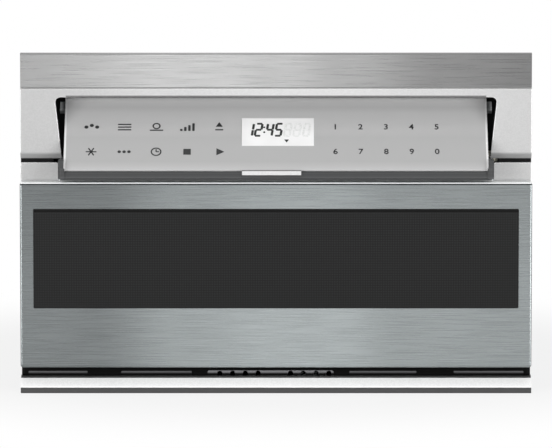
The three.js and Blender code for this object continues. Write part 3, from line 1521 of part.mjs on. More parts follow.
const BOARD_SHEET = 1.6;
const BOARD_LIFT = 12;
const BOARD_MARGIN = 5;
const POST_INSET = 14;
const POST_RADIUS = 4;
const RELAYS = 3;
const RELAY_FIRST = 24;
const RELAY_PITCH = 26;
const RELAY_WIDTH = 18;
const RELAY_DEPTH = 28;
const RELAY_HEIGHT = 20;
const RELAY_SETBACK = 150;
const SINK_FINS = 4;
const SINK_X = 28;
const SINK_SETBACK = 20;
const SINK_LENGTH = 60;
const SINK_HEIGHT = 32;
const SINK_BASE = 5;
const SINK_PITCH = 9;
const SINK_FIN_SHEET = 3;
const COIL_X = 96;
const COIL_SETBACK = 90;
const COIL_SIZE = 44;
const COIL_HEIGHT = 30;
const SMOOTHING_X = 120;
const SMOOTHING_SETBACK = 60;
const SMOOTHING_RADIUS = 11;
const SMOOTHING_HEIGHT = 34;

function powerBoard() {
  const bottom = CAVITY_TOP + BOARD_LIFT + SEAT;
  const seat = bottom + BOARD_SHEET / 2;
  const top = bottom + BOARD_SHEET;
  const sheet = rectangle(
    BOARD_LEFT + BOARD_MARGIN,
    BOARD_RIGHT - BOARD_MARGIN,
    BOARD_FRONT + BOARD_MARGIN,
    BOARD_BACK - BOARD_MARGIN,
    2,
  );
  const item = (x, y, wide, deep, tall) =>
    block(
      BOARD_LEFT + x,
      BOARD_LEFT + x + wide,
      BOARD_FRONT + y,
      BOARD_FRONT + y + deep,
      seat,
      top + tall,
    );
  const post = (x, y, radius, z0, z1) => alongZ(disc(BOARD_LEFT + x, BOARD_FRONT + y, radius), z0, z1, 5);
  const relays = [...Array(RELAYS).keys()].map((index) =>
    item(RELAY_FIRST + index * RELAY_PITCH, RELAY_SETBACK, RELAY_WIDTH, RELAY_DEPTH, RELAY_HEIGHT),
  );
  const fins = [...Array(SINK_FINS).keys()].map((index) =>
    item(SINK_X + 2 + index * SINK_PITCH, SINK_SETBACK, SINK_FIN_SHEET, SINK_LENGTH, SINK_HEIGHT),
  );
  const sinkBase = item(SINK_X, SINK_SETBACK, SINK_FINS * SINK_PITCH, SINK_LENGTH, SINK_BASE);
  const coil = item(COIL_X, COIL_SETBACK, COIL_SIZE, COIL_SIZE, COIL_HEIGHT);
  const smoothing = post(SMOOTHING_X, SMOOTHING_SETBACK, SMOOTHING_RADIUS, seat, bottom + SMOOTHING_HEIGHT);
  const posts = [POST_INSET, BOARD_WIDTH - POST_INSET].flatMap((x) =>
    [POST_INSET, BOARD_DEPTH - POST_INSET].map((y) => post(x, y, POST_RADIUS, CAVITY_TOP, seat)),
  );
  const items = [...relays, ...fins, sinkBase, coil, smoothing, ...posts];
  return part("power_board", join(alongZ(outline(sheet), bottom, top), ...items), boardGreen());
}

// ---------------------------------------------------------------- flap bay and hinge

function flapBay() {
  const back = ahead(-BAY_BACK);
  const body = block(
    -BAY_HALF - BAY_WALL,
    BAY_HALF + BAY_WALL,
    CASE_FRONT,
    back + BAY_WALL,
    BAY_FLOOR - BAY_WALL,
    BAY_CEILING + BAY_WALL,
  );
  const hollow = block(-BAY_HALF, BAY_HALF, CASE_FRONT - 1, back, BAY_FLOOR, BAY_CEILING);
  const pinBore = (side) =>
    sideTube(side, BAY_HALF - 1, BAY_HALF + BAY_WALL + 1, HINGE_Y, HINGE_LEVEL, HINGE_PIN_RADIUS + SEAT);
  const damperBore = sideTube(1, BAY_HALF - 1, BAY_HALF + BAY_WALL + 1, DAMPER_Y, HINGE_LEVEL, 2 + SEAT);
  return part("flap_bay", cut(body, hollow, pinBore(-1), pinBore(1), damperBore), blackMoulding());
}

const SECTOR_RADIUS = (GEAR_MODULE * SECTOR_TEETH) / 2;
const DAMPER_RADIUS = (GEAR_MODULE * DAMPER_TEETH) / 2;
const DAMPER_Y = HINGE_Y + SECTOR_RADIUS + DAMPER_RADIUS;
const SECTOR_NEAR = FLAP_BODY_HALF + 8;

// A round bar along x on one side, between two distances from the middle.
function sideTube(side, near, far, y, z, radius) {
  const [x0, x1] = [side * near, side * far].sort((a, b) => a - b);
  return alongX(disc(y, z, radius), x0, x1, 6);
}

function flapDamper() {
  const x = BAY_HALF + BAY_WALL + SEAT;
  const body = alongX(disc(DAMPER_Y, HINGE_LEVEL, 11), x, CASE_INNER_HALF - 1, 8);
  const ears = alongX(
    outline(rectangle(DAMPER_Y - 4, DAMPER_Y + 4, HINGE_LEVEL - 18, HINGE_LEVEL + 18, 4)),
    x,
    x + 2,
    3,
  );
  const bore = alongX(disc(DAMPER_Y, HINGE_LEVEL, 2 + SEAT), x - 1, x + 5, 5);
  return part("flap_damper", cut(join(body, ears), bore), blackMoulding());
}

function damperPinion() {
  const gear = draw(new THREE.Shape(), gearPoints(DAMPER_TEETH, GEAR_MODULE));
  const wheel = alongX(gear, SECTOR_NEAR - 0.5, SECTOR_NEAR + SECTOR_WIDTH + 0.5);
  const axle = alongX(disc(0, 0, 2), SECTOR_NEAR, BAY_HALF + BAY_WALL + 4, 5);
  const mesh = part("damper_pinion", join(wheel, axle), nylon());
  // One tooth stands in the sector's space, which is just past the line of centres.
  mesh.rotation.x = Math.PI / DAMPER_TEETH - ((FLAP_OPEN - Math.PI / 2) * SECTOR_TEETH) / DAMPER_TEETH;
  mesh.position.set(0, DAMPER_Y, HINGE_LEVEL);
  return mesh;
}

const PUSH_LATCH_LEAD = 8;
const PUSH_LATCH_SIZE = 36;
const PUSH_LATCH_HEIGHT = 4;

function pushLatch() {
  const plan = rectangle(
    TAB_SHIFT - PUSH_LATCH_SIZE / 2,
    TAB_SHIFT + PUSH_LATCH_SIZE / 2,
    CASE_FRONT + PUSH_LATCH_LEAD,
    CASE_FRONT + PUSH_LATCH_LEAD + PUSH_LATCH_SIZE,
    2,
  );
  const geometry = alongZ(outline(plan), BAY_CEILING - PUSH_LATCH_HEIGHT, BAY_CEILING);
  return part("push_latch", geometry, blackMoulding());
}

// ---------------------------------------------------------------- control flap

// Everything here is drawn closed, with the hinge line as x axis. A point in front of the hinge
// has a negative y.

const FACE_TURN = -(KEY_FACE_TILT + FLAP_OPEN);
const FACE_DIRECTION = new THREE.Vector2(-Math.sin(FACE_TURN), Math.cos(FACE_TURN));
const FACE_INWARD = new THREE.Vector2(Math.cos(FACE_TURN), Math.sin(FACE_TURN));

// A point of the flap's section: `along` the key face from its free edge, `in` behind its face.
function facePoint(along, inward) {
  const point = FACE_EDGE.clone()
    .addScaledVector(FACE_DIRECTION, along)
    .addScaledVector(FACE_INWARD, inward);
  return [point.x, point.y];
}

function plateHalfAt(rise) {
  return notchHalfAt(HINGE_LEVEL + rise) - FLAP_CLEARANCE;
}

function flapPlate() {
  const elevation = outline([
    [-plateHalfAt(FLAP_PLATE_BOTTOM), FLAP_PLATE_BOTTOM, 2],
    [plateHalfAt(FLAP_PLATE_BOTTOM), FLAP_PLATE_BOTTOM, 2],
    [plateHalfAt(FLAP_PLATE_TOP), FLAP_PLATE_TOP, NOTCH_RADIUS - 1],
    [-plateHalfAt(FLAP_PLATE_TOP), FLAP_PLATE_TOP, NOTCH_RADIUS - 1],
  ]);
  const geometry = alongY(elevation, -PLATE_OFFSET, -PLATE_OFFSET + FLAP_PLATE_SHEET, 3);
  return part("flap_plate", geometry, brushedSteel());
}

const HOUSING_FRONT = -PLATE_OFFSET + FLAP_PLATE_SHEET + SEAT;
const HOUSING_TOP = FLAP_PLATE_TOP - 0.5;
const SKIN_GAP = KEY_FACE_THICKNESS + SEAT;

function flapHousing() {
  const wedge = outline([
    [HOUSING_FRONT, FLAP_PLATE_BOTTOM + 2, 1],
    facePoint(KEY_FACE_LENGTH, SKIN_GAP),
    facePoint(-1, SKIN_GAP),
    [FACE_EDGE.x - 1.8, FACE_EDGE.y + 1],
    [HOUSING_FRONT, HOUSING_TOP, 1],
  ]);
  const inner = SKIN_GAP + FLAP_WALL;
  const hollow = outline([
    [HOUSING_FRONT + FLAP_WALL, FLAP_PLATE_BOTTOM - 20],
    facePoint(KEY_FACE_LENGTH + 20, inner),
    facePoint(4, inner),
    [HOUSING_FRONT + FLAP_WALL, HOUSING_TOP - FLAP_WALL - 3],
  ]);
  const skirt = outline([
    [HOUSING_FRONT, SKIRT_START],
    [HOUSING_FRONT + FLAP_SKIRT_DEPTH, SKIRT_START],
    [HOUSING_FRONT + FLAP_SKIRT_DEPTH, HOUSING_TOP - SKIRT_CHAMFER, 4],
    [HOUSING_FRONT + FLAP_SKIRT_DEPTH - SKIRT_CHAMFER, HOUSING_TOP, 4],
    [HOUSING_FRONT, HOUSING_TOP],
  ]);
  const plan = outline([
    [-plateHalfAt(SKIRT_START) + 0.5, SKIRT_START],
    [plateHalfAt(SKIRT_START) - 0.5, SKIRT_START],
    [plateHalfAt(FLAP_PLATE_TOP) - 0.5, FLAP_PLATE_TOP, NOTCH_RADIUS - 1],
    [-plateHalfAt(FLAP_PLATE_TOP) + 0.5, FLAP_PLATE_TOP, NOTCH_RADIUS - 1],
  ]);
  const half = FLAP_BODY_HALF;
  const skirts = cut(
    common(alongX(skirt, -half - 12, half + 12), alongY(plan, -PLATE_OFFSET, PLATE_OFFSET, 3)),
    block(-half + 1, half - 1, -60, 60, 0, 90),
  );
  const inside = alongX(hollow, -half + FLAP_WALL, half - FLAP_WALL);
  const pins = Object.values(sides).map((side) =>
    sideTube(side, half - FLAP_WALL, BAY_HALF + BAY_WALL, 0, 0, HINGE_PIN_RADIUS),
  );
  const faceSeat = outline([
    facePoint(-0.8, SKIN_GAP),
    facePoint(KEY_FACE_LENGTH + 5, SKIN_GAP),
    facePoint(KEY_FACE_LENGTH + 5, -40),
    facePoint(-0.8, -40),
  ]);
  const clearOfFace = alongX(faceSeat, -KEY_FACE_HALF - SEAT, KEY_FACE_HALF + SEAT);
  const shell = cut(join(alongX(wedge, -half, half), skirts), inside, clearOfFace);
  return part("flap_housing", join(shell, ...pins), darkMoulding());
}

function flapTab() {
  const slope = (HOUSING_TOP - FACE_EDGE.y - 1) / (FACE_EDGE.x - 1.8 - HOUSING_FRONT);
  const chinAt = (y) => HOUSING_TOP - (y - HOUSING_FRONT) * slope;
  const back = FACE_EDGE.x + 0.6;
  const front = back - TAB_REACH;
  const profile = outline([
    [front, chinAt(front) + SEAT + 0.1],
    [back - 1.4, chinAt(back - 1.4) + SEAT + 0.1],
    [back, FACE_EDGE.y + 1],
    [back, FLAP_PLATE_TOP, 1],
    [front, FLAP_PLATE_TOP],
  ]);
  return part(
    "flap_tab",
    alongX(profile, TAB_SHIFT - TAB_WIDTH / 2, TAB_SHIFT + TAB_WIDTH / 2),
    satinSilver(),
  );
}

// The sector has a space at the bottom and teeth from there round to the back.
function sectorGear() {
  const hub = 7;
  const last = Math.ceil((FLAP_OPEN * SECTOR_TEETH) / (2 * Math.PI)) - 1;
  const teeth = gearPoints(SECTOR_TEETH, GEAR_MODULE, -Math.PI / 2, -1, last);
  const gear = outline([...teeth, [hub / 2, hub, 3], [-hub, hub, 6], [-hub, -hub, 6]]);
  const bore = sideTube(1, SECTOR_NEAR - 20, SECTOR_NEAR + 20, 0, 0, HINGE_PIN_RADIUS + SEAT);
  const wheel = alongX(gear, SECTOR_NEAR, SECTOR_NEAR + SECTOR_WIDTH, 3);
  const spacer = sideTube(1, FLAP_BODY_HALF + SEAT, SECTOR_NEAR + 0.5, 0, 0, hub - 1);
  return part("flap_sector", cut(join(wheel, spacer), bore), nylon());
}

function stopPads() {
  const make = (side) => {
    const near = FLAP_BODY_HALF + SEAT;
    const [x0, x1] = [side * near, side * (near + STOP_PAD_WIDTH)].sort((a, b) => a - b);
    const corner = KEY_FACE_LENGTH - 2;
    const section = outline([
      [...facePoint(corner - STOP_PAD_LENGTH, SKIN_GAP + 1), 2],
      [...facePoint(corner, SKIN_GAP + 1), 2],
      [...facePoint(corner, SKIN_GAP + 9), 2],
      [...facePoint(corner - STOP_PAD_LENGTH, SKIN_GAP + 9), 2],
    ]);
    return alongX(section, x0, x1);
  };
  return pair("flap_stop", make, rubber);
}

// The key face and what it carries are drawn flat: z up the face from its free edge, y inwards.
function keyFace() {
  const section = outline([
    [0, 0, 1.6],
    [KEY_FACE_THICKNESS, 0],
    [KEY_FACE_THICKNESS, KEY_FACE_LENGTH],
    [0, KEY_FACE_LENGTH, 0.6],
  ]);
  const window = block(
    DISPLAY_SHIFT - DISPLAY_WIDTH / 2,
    DISPLAY_SHIFT + DISPLAY_WIDTH / 2,
    -1,
    KEY_FACE_THICKNESS + 1,
    DISPLAY_RISE,
    DISPLAY_RISE + DISPLAY_HEIGHT,
  );
  const sheet = alongX(section, -KEY_FACE_HALF, KEY_FACE_HALF, 3);
  return part("control_face", cut(sheet, window), silverFilm());
}

function displayWindow() {
  const half = DISPLAY_WIDTH / 2 - SEAT;
  const pane = outline(
    rectangle(
      DISPLAY_SHIFT - half,
      DISPLAY_SHIFT + half,
      DISPLAY_RISE + SEAT,
      DISPLAY_RISE + DISPLAY_HEIGHT - SEAT,
      0.8,
    ),
  );
  return part("display_window", alongY(pane, 0.3, KEY_FACE_THICKNESS), paleDisplay());
}

const KEY_BOARD_SIDE_SPACE = 22.3;
const KEY_BOARD_LOW_MARGIN = 16;
const KEY_BOARD_HIGH_MARGIN = 12;
const CHIP_HALF = 8;
const CHIP_HEIGHT = 2.4;

function keyBoard() {
  const front = SKIN_GAP + FLAP_WALL + SEAT;
  const half = KEY_FACE_HALF - KEY_BOARD_SIDE_SPACE;
  const sheet = outline(
    rectangle(-half, half, KEY_BOARD_LOW_MARGIN, KEY_FACE_LENGTH - KEY_BOARD_HIGH_MARGIN, 2),
  );
  const board = alongY(sheet, front, front + BOARD_SHEET);
  const chips = [-0.5, 0.25, 0.65].map((share) =>
    block(
      share * half - CHIP_HALF,
      share * half + CHIP_HALF,
      front + BOARD_SHEET / 2,
      front + BOARD_SHEET + CHIP_HEIGHT,
      KEY_FACE_LENGTH / 2 - CHIP_HALF,
      KEY_FACE_LENGTH / 2 + CHIP_HALF,
    ),
  );
  return part("key_board", join(board, ...chips), boardGreen());
}

// ---------------------------------------------------------------- assembly

function group(...members) {
  const made = new THREE.Group();
  made.add(...members.flat());
  return made;
}

const fixedFront = group(frontPlate(), topTrim(), upperFascia(), lowerFascia(), bottomSill(), ventGrille());

const housing = group(basePlate(), caseShell(), rearPanel(), cordGland());

const cookingBox = group(
  ovenCavity(),
  waveguide(),
  magnetron(),
  antennaCover(),
  antennaMotor(),
  rotatingAntenna(),
);

const drawerFront = group(doorSkin(), doorGlass(), doorScreen(), doorCarrier(), chokePanel(), innerGlass());

const slides = group(
  railMember("rail_outer", 0, RAIL_FRONT, RAIL_LENGTH),
  railMember("rail_middle", 1, RAIL_FRONT, RAIL_LENGTH),
  railMember("rail_inner", 2, DOOR_BACK + SEAT, RAIL_LENGTH),
);

const drive = group(racks(), driveShaft(), driveBrackets(), drawerGearmotor());

const interlocks = group(latchHooks(), interlockSwitches());

const electrics = group(
  fanShroud(),
  fanMotor(),
  coolingFan(),
  hvTransformer(),
  hvCapacitor(),
  powerBoard(),
);

const bay = group(flapBay(), flapDamper(), damperPinion(), pushLatch());

const keyPanel = group(keyFace(), displayWindow(), keyBoard());
keyPanel.position.set(0, FACE_EDGE.x, FACE_EDGE.y);
keyPanel.rotation.x = FACE_TURN;

const flap = group(flapPlate(), flapHousing(), flapTab(), sectorGear(), stopPads(), keyPanel);
flap.position.set(0, HINGE_Y, HINGE_LEVEL);
flap.rotation.x = FLAP_OPEN;

const microwaveDrawer = group(
  fixedFront,
  housing,
  cookingBox,
  drawerFront,
  drawerTub(),
  drawerTray(),
  slides,
  drive,
  interlocks,
  electrics,
  bay,
  flap,
);

export default microwaveDrawer;
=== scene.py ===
"""Looks of a built-in microwave drawer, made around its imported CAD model.

Sizes are in metres, in the model's own axes: +X right, +Y into the cabinet, +Z up. What ends in _mm is in
millimetres on the same axes, and so are the places in a finish's tones and bands.
"""

from __future__ import annotations

import json
import logging
import math
from dataclasses import dataclass, field
from enum import Enum

import bpy
from mathutils import Matrix, Vector

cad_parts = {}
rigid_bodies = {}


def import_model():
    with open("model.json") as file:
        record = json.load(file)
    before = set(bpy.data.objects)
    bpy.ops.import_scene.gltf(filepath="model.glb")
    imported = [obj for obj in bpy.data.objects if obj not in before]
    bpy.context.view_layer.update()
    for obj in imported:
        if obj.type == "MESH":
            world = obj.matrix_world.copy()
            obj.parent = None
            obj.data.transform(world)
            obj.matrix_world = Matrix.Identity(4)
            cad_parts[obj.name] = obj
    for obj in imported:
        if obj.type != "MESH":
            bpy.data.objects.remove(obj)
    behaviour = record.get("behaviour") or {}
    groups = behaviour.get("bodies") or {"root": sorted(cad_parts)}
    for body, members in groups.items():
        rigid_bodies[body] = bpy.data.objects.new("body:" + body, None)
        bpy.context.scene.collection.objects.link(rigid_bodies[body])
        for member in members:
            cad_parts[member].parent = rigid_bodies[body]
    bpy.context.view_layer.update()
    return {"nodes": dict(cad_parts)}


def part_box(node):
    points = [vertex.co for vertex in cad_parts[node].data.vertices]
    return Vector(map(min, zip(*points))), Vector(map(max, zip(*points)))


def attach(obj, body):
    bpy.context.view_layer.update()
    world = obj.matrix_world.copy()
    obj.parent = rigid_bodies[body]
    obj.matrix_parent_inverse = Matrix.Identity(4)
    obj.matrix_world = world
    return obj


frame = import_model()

MM = 0.001
LOG = logging.getLogger("microwave_drawer")

Colour = tuple[float, float, float, float]
Point = tuple[float, float, float]
Tone = tuple[tuple[float, float], ...]
Object = bpy.types.Object
Socket = bpy.types.NodeSocket

# The shader's inputs that a pattern changes, and the Mix node's two inputs and output for each kind.
BASE, METAL, GLOSS, NORMAL = "Base Color", "Metallic", "Roughness", "Normal"
MIX_SOCKETS = {"RGBA": (6, 7, 2), "FLOAT": (2, 3, 0)}
WHITE: Colour = (1.0, 1.0, 1.0, 1.0)
# Between which levels most of a grain lies.
GRAIN_LOW, GRAIN_HIGH = 0.3, 0.7


class Axis(Enum):
    """One of the model's axes."""

    X = "X"
    Y = "Y"
    Z = "Z"


def extent(node: str, axis: Axis = Axis.Z) -> tuple[float, float]:
    """Finds how far a CAD node reaches along an axis.

    Args:
        node: the node's name.
        axis: the axis.

    Returns:
        Its lowest and its highest place, in mm.
    """
    low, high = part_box(node)
    index = list(Axis).index(axis)
    return low[index] / MM, high[index] / MM


# ---------------------------------------------------------------- materials


def linear(code: str) -> Colour:
    """Turns an sRGB hex colour into linear RGBA.

    Args:
        code: six hex digits, such as "9aa0a1".

    Returns:
        The linear red, green and blue, with an alpha of 1.
    """
    channels = [int(code[i : i + 2], 16) / 255 for i in (0, 2, 4)]
    curved = [c / 12.92 if c <= 0.04045 else ((c + 0.055) / 1.055) ** 2.4 for c in channels]
    return (curved[0], curved[1], curved[2], 1.0)


def shade(colour: Colour, amount: float) -> Colour:
    """Scales a linear colour and keeps its alpha."""
    return (colour[0] * amount, colour[1] * amount, colour[2] * amount, 1.0)


def add(
    tree: bpy.types.NodeTree,
    kind: str,
    inputs: dict | None = None,
    stops: list[tuple[float, Colour]] | None = None,
    **settings: object,
) -> bpy.types.Node:
    """Adds a node with its settings and links.

    Args:
        tree: the node tree that it goes into.
        kind: the node's Blender type.
        inputs: for each input's name or number, the socket to link from or the value to set.
        stops: a colour ramp's places from 0 to 1, each with its linear colour.
        settings: the node's own properties.

    Returns:
        The new node.
    """
    made = tree.nodes.new(kind)
    for name, value in settings.items():
        setattr(made, name, value)
    for key, value in (inputs or {}).items():
        if isinstance(value, Socket):
            tree.links.new(value, made.inputs[key])
        else:
            made.inputs[key].default_value = value
    if stops:
        elements = made.color_ramp.elements
        while len(elements) < len(stops):
            elements.new(1.0)
        for element, (place, colour) in zip(elements, stops):
            element.position, element.color = place, colour
    return made


@dataclass(frozen=True)
class Band:
    """A strip between two places on an axis, in painted shade or a painted highlight at a fold, lip or
    gap.

    `across_mm` keeps it between two distances from the middle.
    """

    low_mm: float
    high_mm: float
    colour: str
    metallic: float = 0.0
    axis: Axis = Axis.Z
    across_mm: tuple[float, float] | None = None


@dataclass
class Paint:
    """A material while its finish is laid on: its tree, shader, object coordinates and their axes."""

    tree: bpy.types.NodeTree
    shader: bpy.types.Node
    place: Socket
    axes: bpy.types.NodeOutputs

    def source(self, name: str) -> Socket | object:
        """Gives what feeds one of the shader's inputs: a socket, or the input's own value."""
        socket = self.shader.inputs[name]
        return socket.links[0].from_socket if socket.is_linked else socket.default_value

    def feed(self, name: str, socket: Socket) -> None:
        """Links a socket to one of the shader's inputs."""
        self.tree.links.new(socket, self.shader.inputs[name])

    def cover(self, name: str, share: Socket, value: Colour | float) -> None:
        """Lets a value take over a share of what feeds one of the shader's inputs.

        Args:
            name: the input.
            share: how much of the value shows, from 0 to 1.
            value: the linear colour or the number that takes over.
        """
        kind = "RGBA" if isinstance(value, tuple) else "FLOAT"
        first, second, output = MIX_SOCKETS[kind]
        inputs = {0: share, first: self.source(name), second: value}
        self.feed(name, add(self.tree, "ShaderNodeMix", inputs, data_type=kind).outputs[output])

    def colours(self, level: Socket, stops: list[tuple[float, Colour]]) -> None:
        """Lets a level choose the base colour between stops."""
        self.feed(BASE, add(self.tree, "ShaderNodeValToRGB", {"Fac": level}, stops).outputs["Color"])

    def grain(self, size_mm: Point, detail: float = 2.0) -> Socket:
        """Lays uneven grain of a real size.

        Args:
            size_mm: its size along each axis.
            detail: how many finer layers it has.

        Returns:
            Its level, from 0 to 1.
        """
        scale = tuple(1 / (size * MM) for size in size_mm)
        moved = add(self.tree, "ShaderNodeMapping", {"Vector": self.place, "Scale": scale})
        inputs = {"Vector": moved.outputs[0], "Scale": 1.0, "Detail": detail}
        return add(self.tree, "ShaderNodeTexNoise", inputs).outputs["Fac"]

    def coat(self, weight: float, roughness: float) -> None:
        """Puts a clear coat over the surface."""
        self.shader.inputs["Coat Weight"].default_value = weight
        self.shader.inputs["Coat Roughness"].default_value = roughness

    def emboss(self, height: Socket, depth_mm: float, strength: float = 1.0) -> None:
        """Raises the surface with a level.

        Args:
            height: the level.
            depth_mm: the real depth.
            strength: how much of it shows.
        """
        inputs = {"Height": height, "Strength": strength, "Distance": depth_mm * MM}
        self.feed(NORMAL, add(self.tree, "ShaderNodeBump", inputs).outputs["Normal"])


@dataclass(frozen=True)
class Finish:
    """A surface finish: a material's name, colour and gloss, and the pattern that it carries.

    `along` and `up` hold places in mm across and up the face, each with its level of tone: painted light
    and shade that change across and up the face. Edges are shaded as if rounded by `edge_mm`, as rolled
    sheet and moulded corners are, and may have a painted highlight in a colour of their own. `bands` hold
    strips of painted shade and painted highlights.
    """

    name: str
    colour: str
    roughness: float
    metallic: float = 0.0
    specular: float = field(default=0.5, kw_only=True)
    edge_mm: float = field(default=0.0, kw_only=True)
    edge_colour: str = field(default="", kw_only=True)
    along: Tone = field(default=(), kw_only=True)
    up: Tone = field(default=(), kw_only=True)
    bands: tuple[Band, ...] = field(default=(), kw_only=True)

    def build(self) -> bpy.types.Material:
        """Makes the material in the order in which a surface gets its looks.

        Returns:
            The material, which is the one made before where the finish is used again.
        """
        found = bpy.data.materials.get(self.name)
        if found:
            return found
        material = bpy.data.materials.new(self.name)
        material.use_nodes = True
        tree = material.node_tree
        shader = tree.nodes["Principled BSDF"]
        shader.inputs[BASE].default_value = linear(self.colour)
        shader.inputs[GLOSS].default_value = self.roughness
        shader.inputs[METAL].default_value = self.metallic
        shader.inputs["Specular IOR Level"].default_value = self.specular
        place = add(tree, "ShaderNodeTexCoord").outputs["Object"]
        axes = add(tree, "ShaderNodeSeparateXYZ", {"Vector": place}).outputs
        paint = Paint(tree, shader, place, axes)
        self.dress(paint)
        self.change_tone(paint, Axis.X, self.along)
        self.change_tone(paint, Axis.Z, self.up)
        self.round_edges(paint)
        for band in self.bands:
            self.draw_band(paint, band)
        return material

    def dress(self, paint: Paint) -> None:
        """Lays on the pattern. The plain finish has none."""

    def tint(self, paint: Paint, level: Socket, shades: tuple[float, float]) -> None:
        """Lets the colour run between two shades of itself with a level.

        Args:
            paint: the material at work.
            level: what drives it.
            shades: the darker and the lighter one, as shares of the colour.
        """
        low, high = (shade(linear(self.colour), share) for share in shades)
        paint.colours(level, [(GRAIN_LOW, low), (GRAIN_HIGH, high)])

    def change_tone(self, paint: Paint, axis: Axis, tone: Tone) -> None:
        """Scales the colour by levels that are given at places along an axis, painting light and shade
        along it.

        Args:
            paint: the material at work.
            axis: the axis.
            tone: places in mm, each with its level; none leaves the colour as it is.
        """
        if not tone:
            return
        low, high = tone[0][0], tone[-1][0]
        limits = {"Value": paint.axes[axis.value], "From Min": low * MM, "From Max": high * MM}
        share = add(paint.tree, "ShaderNodeMapRange", limits).outputs[0]
        top = max(level for _, level in tone)
        stops = [((at - low) / (high - low), shade(WHITE, level / top)) for at, level in tone]
        levels = add(paint.tree, "ShaderNodeValToRGB", {"Fac": share}, stops)
        levels.color_ramp.interpolation = "EASE"
        first, second, output = MIX_SOCKETS["RGBA"]
        inputs = {0: 1.0, first: paint.source(BASE), second: levels.outputs["Color"]}
        scaled = add(paint.tree, "ShaderNodeMix", inputs, data_type="RGBA", blend_type="MULTIPLY")
        inputs = {0: scaled.outputs[output], "Scale": top}
        brighter = add(paint.tree, "ShaderNodeVectorMath", inputs, operation="SCALE")
        paint.feed(BASE, brighter.outputs[0])

    def round_edges(self, paint: Paint) -> None:
        """Shades the edges as if rounded, under whatever relief the finish has, and paints a highlight of
        the edge colour along them.

        Args:
            paint: the material at work.
        """
        if self.edge_mm == 0:
            return
        rounded = add(paint.tree, "ShaderNodeBevel", {"Radius": self.edge_mm * MM}, samples=6)
        # A painted highlight in the edge colour, where the rounded normal turns away from the flat one.
        if self.edge_colour:
            flat = add(paint.tree, "ShaderNodeNewGeometry").outputs["True Normal"]
            turned = {0: rounded.outputs["Normal"], 1: flat}
            likeness = add(paint.tree, "ShaderNodeVectorMath", turned, operation="DOT_PRODUCT")
            limits = {"Value": likeness.outputs["Value"], "From Min": 0.995, "From Max": 0.9}
            edge = add(paint.tree, "ShaderNodeMapRange", limits).outputs[0]
            paint.cover(BASE, edge, linear(self.edge_colour))
        under = paint.shader.inputs[NORMAL]
        if under.is_linked:
            under = under.links[0].from_node.inputs[NORMAL]
        paint.tree.links.new(rounded.outputs["Normal"], under)

    def draw_band(self, paint: Paint, band: Band) -> None:
        """Lays a band's painted shade or highlight, as colour and metallic share, over the finish between
        its places.

        Args:
            paint: the material at work.
            band: the band.
        """
        spans = [(paint.axes[band.axis.value], band.low_mm, band.high_mm)]
        if band.across_mm:
            across = {0: paint.axes[Axis.X.value]}
            reach = add(paint.tree, "ShaderNodeMath", across, operation="ABSOLUTE").outputs[0]
            spans.append((reach, *band.across_mm))
        share: Socket | float = 1.0
        for value, low, high in spans:
            middle = {0: value, 1: (low + high) / 2 * MM, 2: (high - low) / 2 * MM}
            inside = add(paint.tree, "ShaderNodeMath", middle, operation="COMPARE").outputs[0]
            both = {0: share, 1: inside}
            share = add(paint.tree, "ShaderNodeMath", both, operation="MULTIPLY").outputs[0]
        paint.cover(BASE, share, linear(band.colour))
        paint.cover(METAL, share, band.metallic)


@dataclass(frozen=True)
class BrushedSteel(Finish):
    """Stainless sheet brushed along X: long fine scratches that draw reflections out across them.

    Real scratches are about 0.05 mm wide, and these are drawn coarser, so that they show.
    """

    scratch_mm: float = 1.1
    length_mm: float = 60.0
    contrast: float = 0.018
    gloss_change: float = 0.05
    depth_mm: float = 0.02
    depth_share: float = 0.08

    def dress(self, paint: Paint) -> None:
        """Lays scratches on the colour, the gloss and the relief.

        Args:
            paint: the material at work.
        """
        scratches = paint.grain((self.length_mm, self.scratch_mm, self.scratch_mm), 3.0)
        self.tint(paint, scratches, (1 - self.contrast, 1 + self.contrast))
        limits = {"Value": scratches, "From Min": GRAIN_LOW, "From Max": GRAIN_HIGH}
        low, high = self.roughness - self.gloss_change, self.roughness + self.gloss_change
        gloss = add(paint.tree, "ShaderNodeMapRange", {**limits, "To Min": low, "To Max": high})
        paint.feed(GLOSS, gloss.outputs[0])
        paint.emboss(scratches, self.depth_mm, self.depth_share)


@dataclass(frozen=True)
class Moulded(Finish):
    """Plastic or rubber from a mould with a fine eroded grain, or paint that sets as finely.

    The real grain is about 0.1 mm wide, and it is drawn coarser, so that it shows.
    """

    grain_mm: float = 1.2
    depth_mm: float = 0.04
    flow_mm: Point = (60.0, 40.0, 60.0)
    shades: tuple[float, float] = (0.94, 1.06)

    def dress(self, paint: Paint) -> None:
        """Lays on the grain, and faint flow marks over it."""
        self.tint(paint, paint.grain(self.flow_mm), self.shades)
        paint.emboss(paint.grain((self.grain_mm,) * 3), self.depth_mm)


@dataclass(frozen=True)
class VentMoulding(Moulded):
    """Matt black vent strip with a painted highlight, satin grey, along the tops of its raised bars."""

    # The painted highlight's colour, how far the bars stand out, and the heights over which the highlight
    # fades in.
    bar: str = "626264"
    bar_rise_mm: float = 0.8
    light_z_mm: tuple[float, float] = (20.0, 22.0)

    def dress(self, paint: Paint) -> None:
        """Lays on the grain, and the painted highlight on the bars, which fades out down their faces.

        Args:
            paint: the material at work.
        """
        super().dress(paint)
        foot = (extent("vent_grille", Axis.Y)[0] + self.bar_rise_mm) * MM
        ahead = {0: paint.axes["Y"], 1: foot}
        on_bar = add(paint.tree, "ShaderNodeMath", ahead, operation="LESS_THAN").outputs[0]
        low, high = self.light_z_mm
        limits = {"Value": paint.axes["Z"], "From Min": low * MM, "From Max": high * MM}
        height = add(paint.tree, "ShaderNodeMapRange", limits).outputs[0]
        both = {0: on_bar, 1: height}
        share = add(paint.tree, "ShaderNodeMath", both, operation="MULTIPLY").outputs[0]
        # Paints the highlight on the bars' tops.
        paint.cover(BASE, share, linear(self.bar))


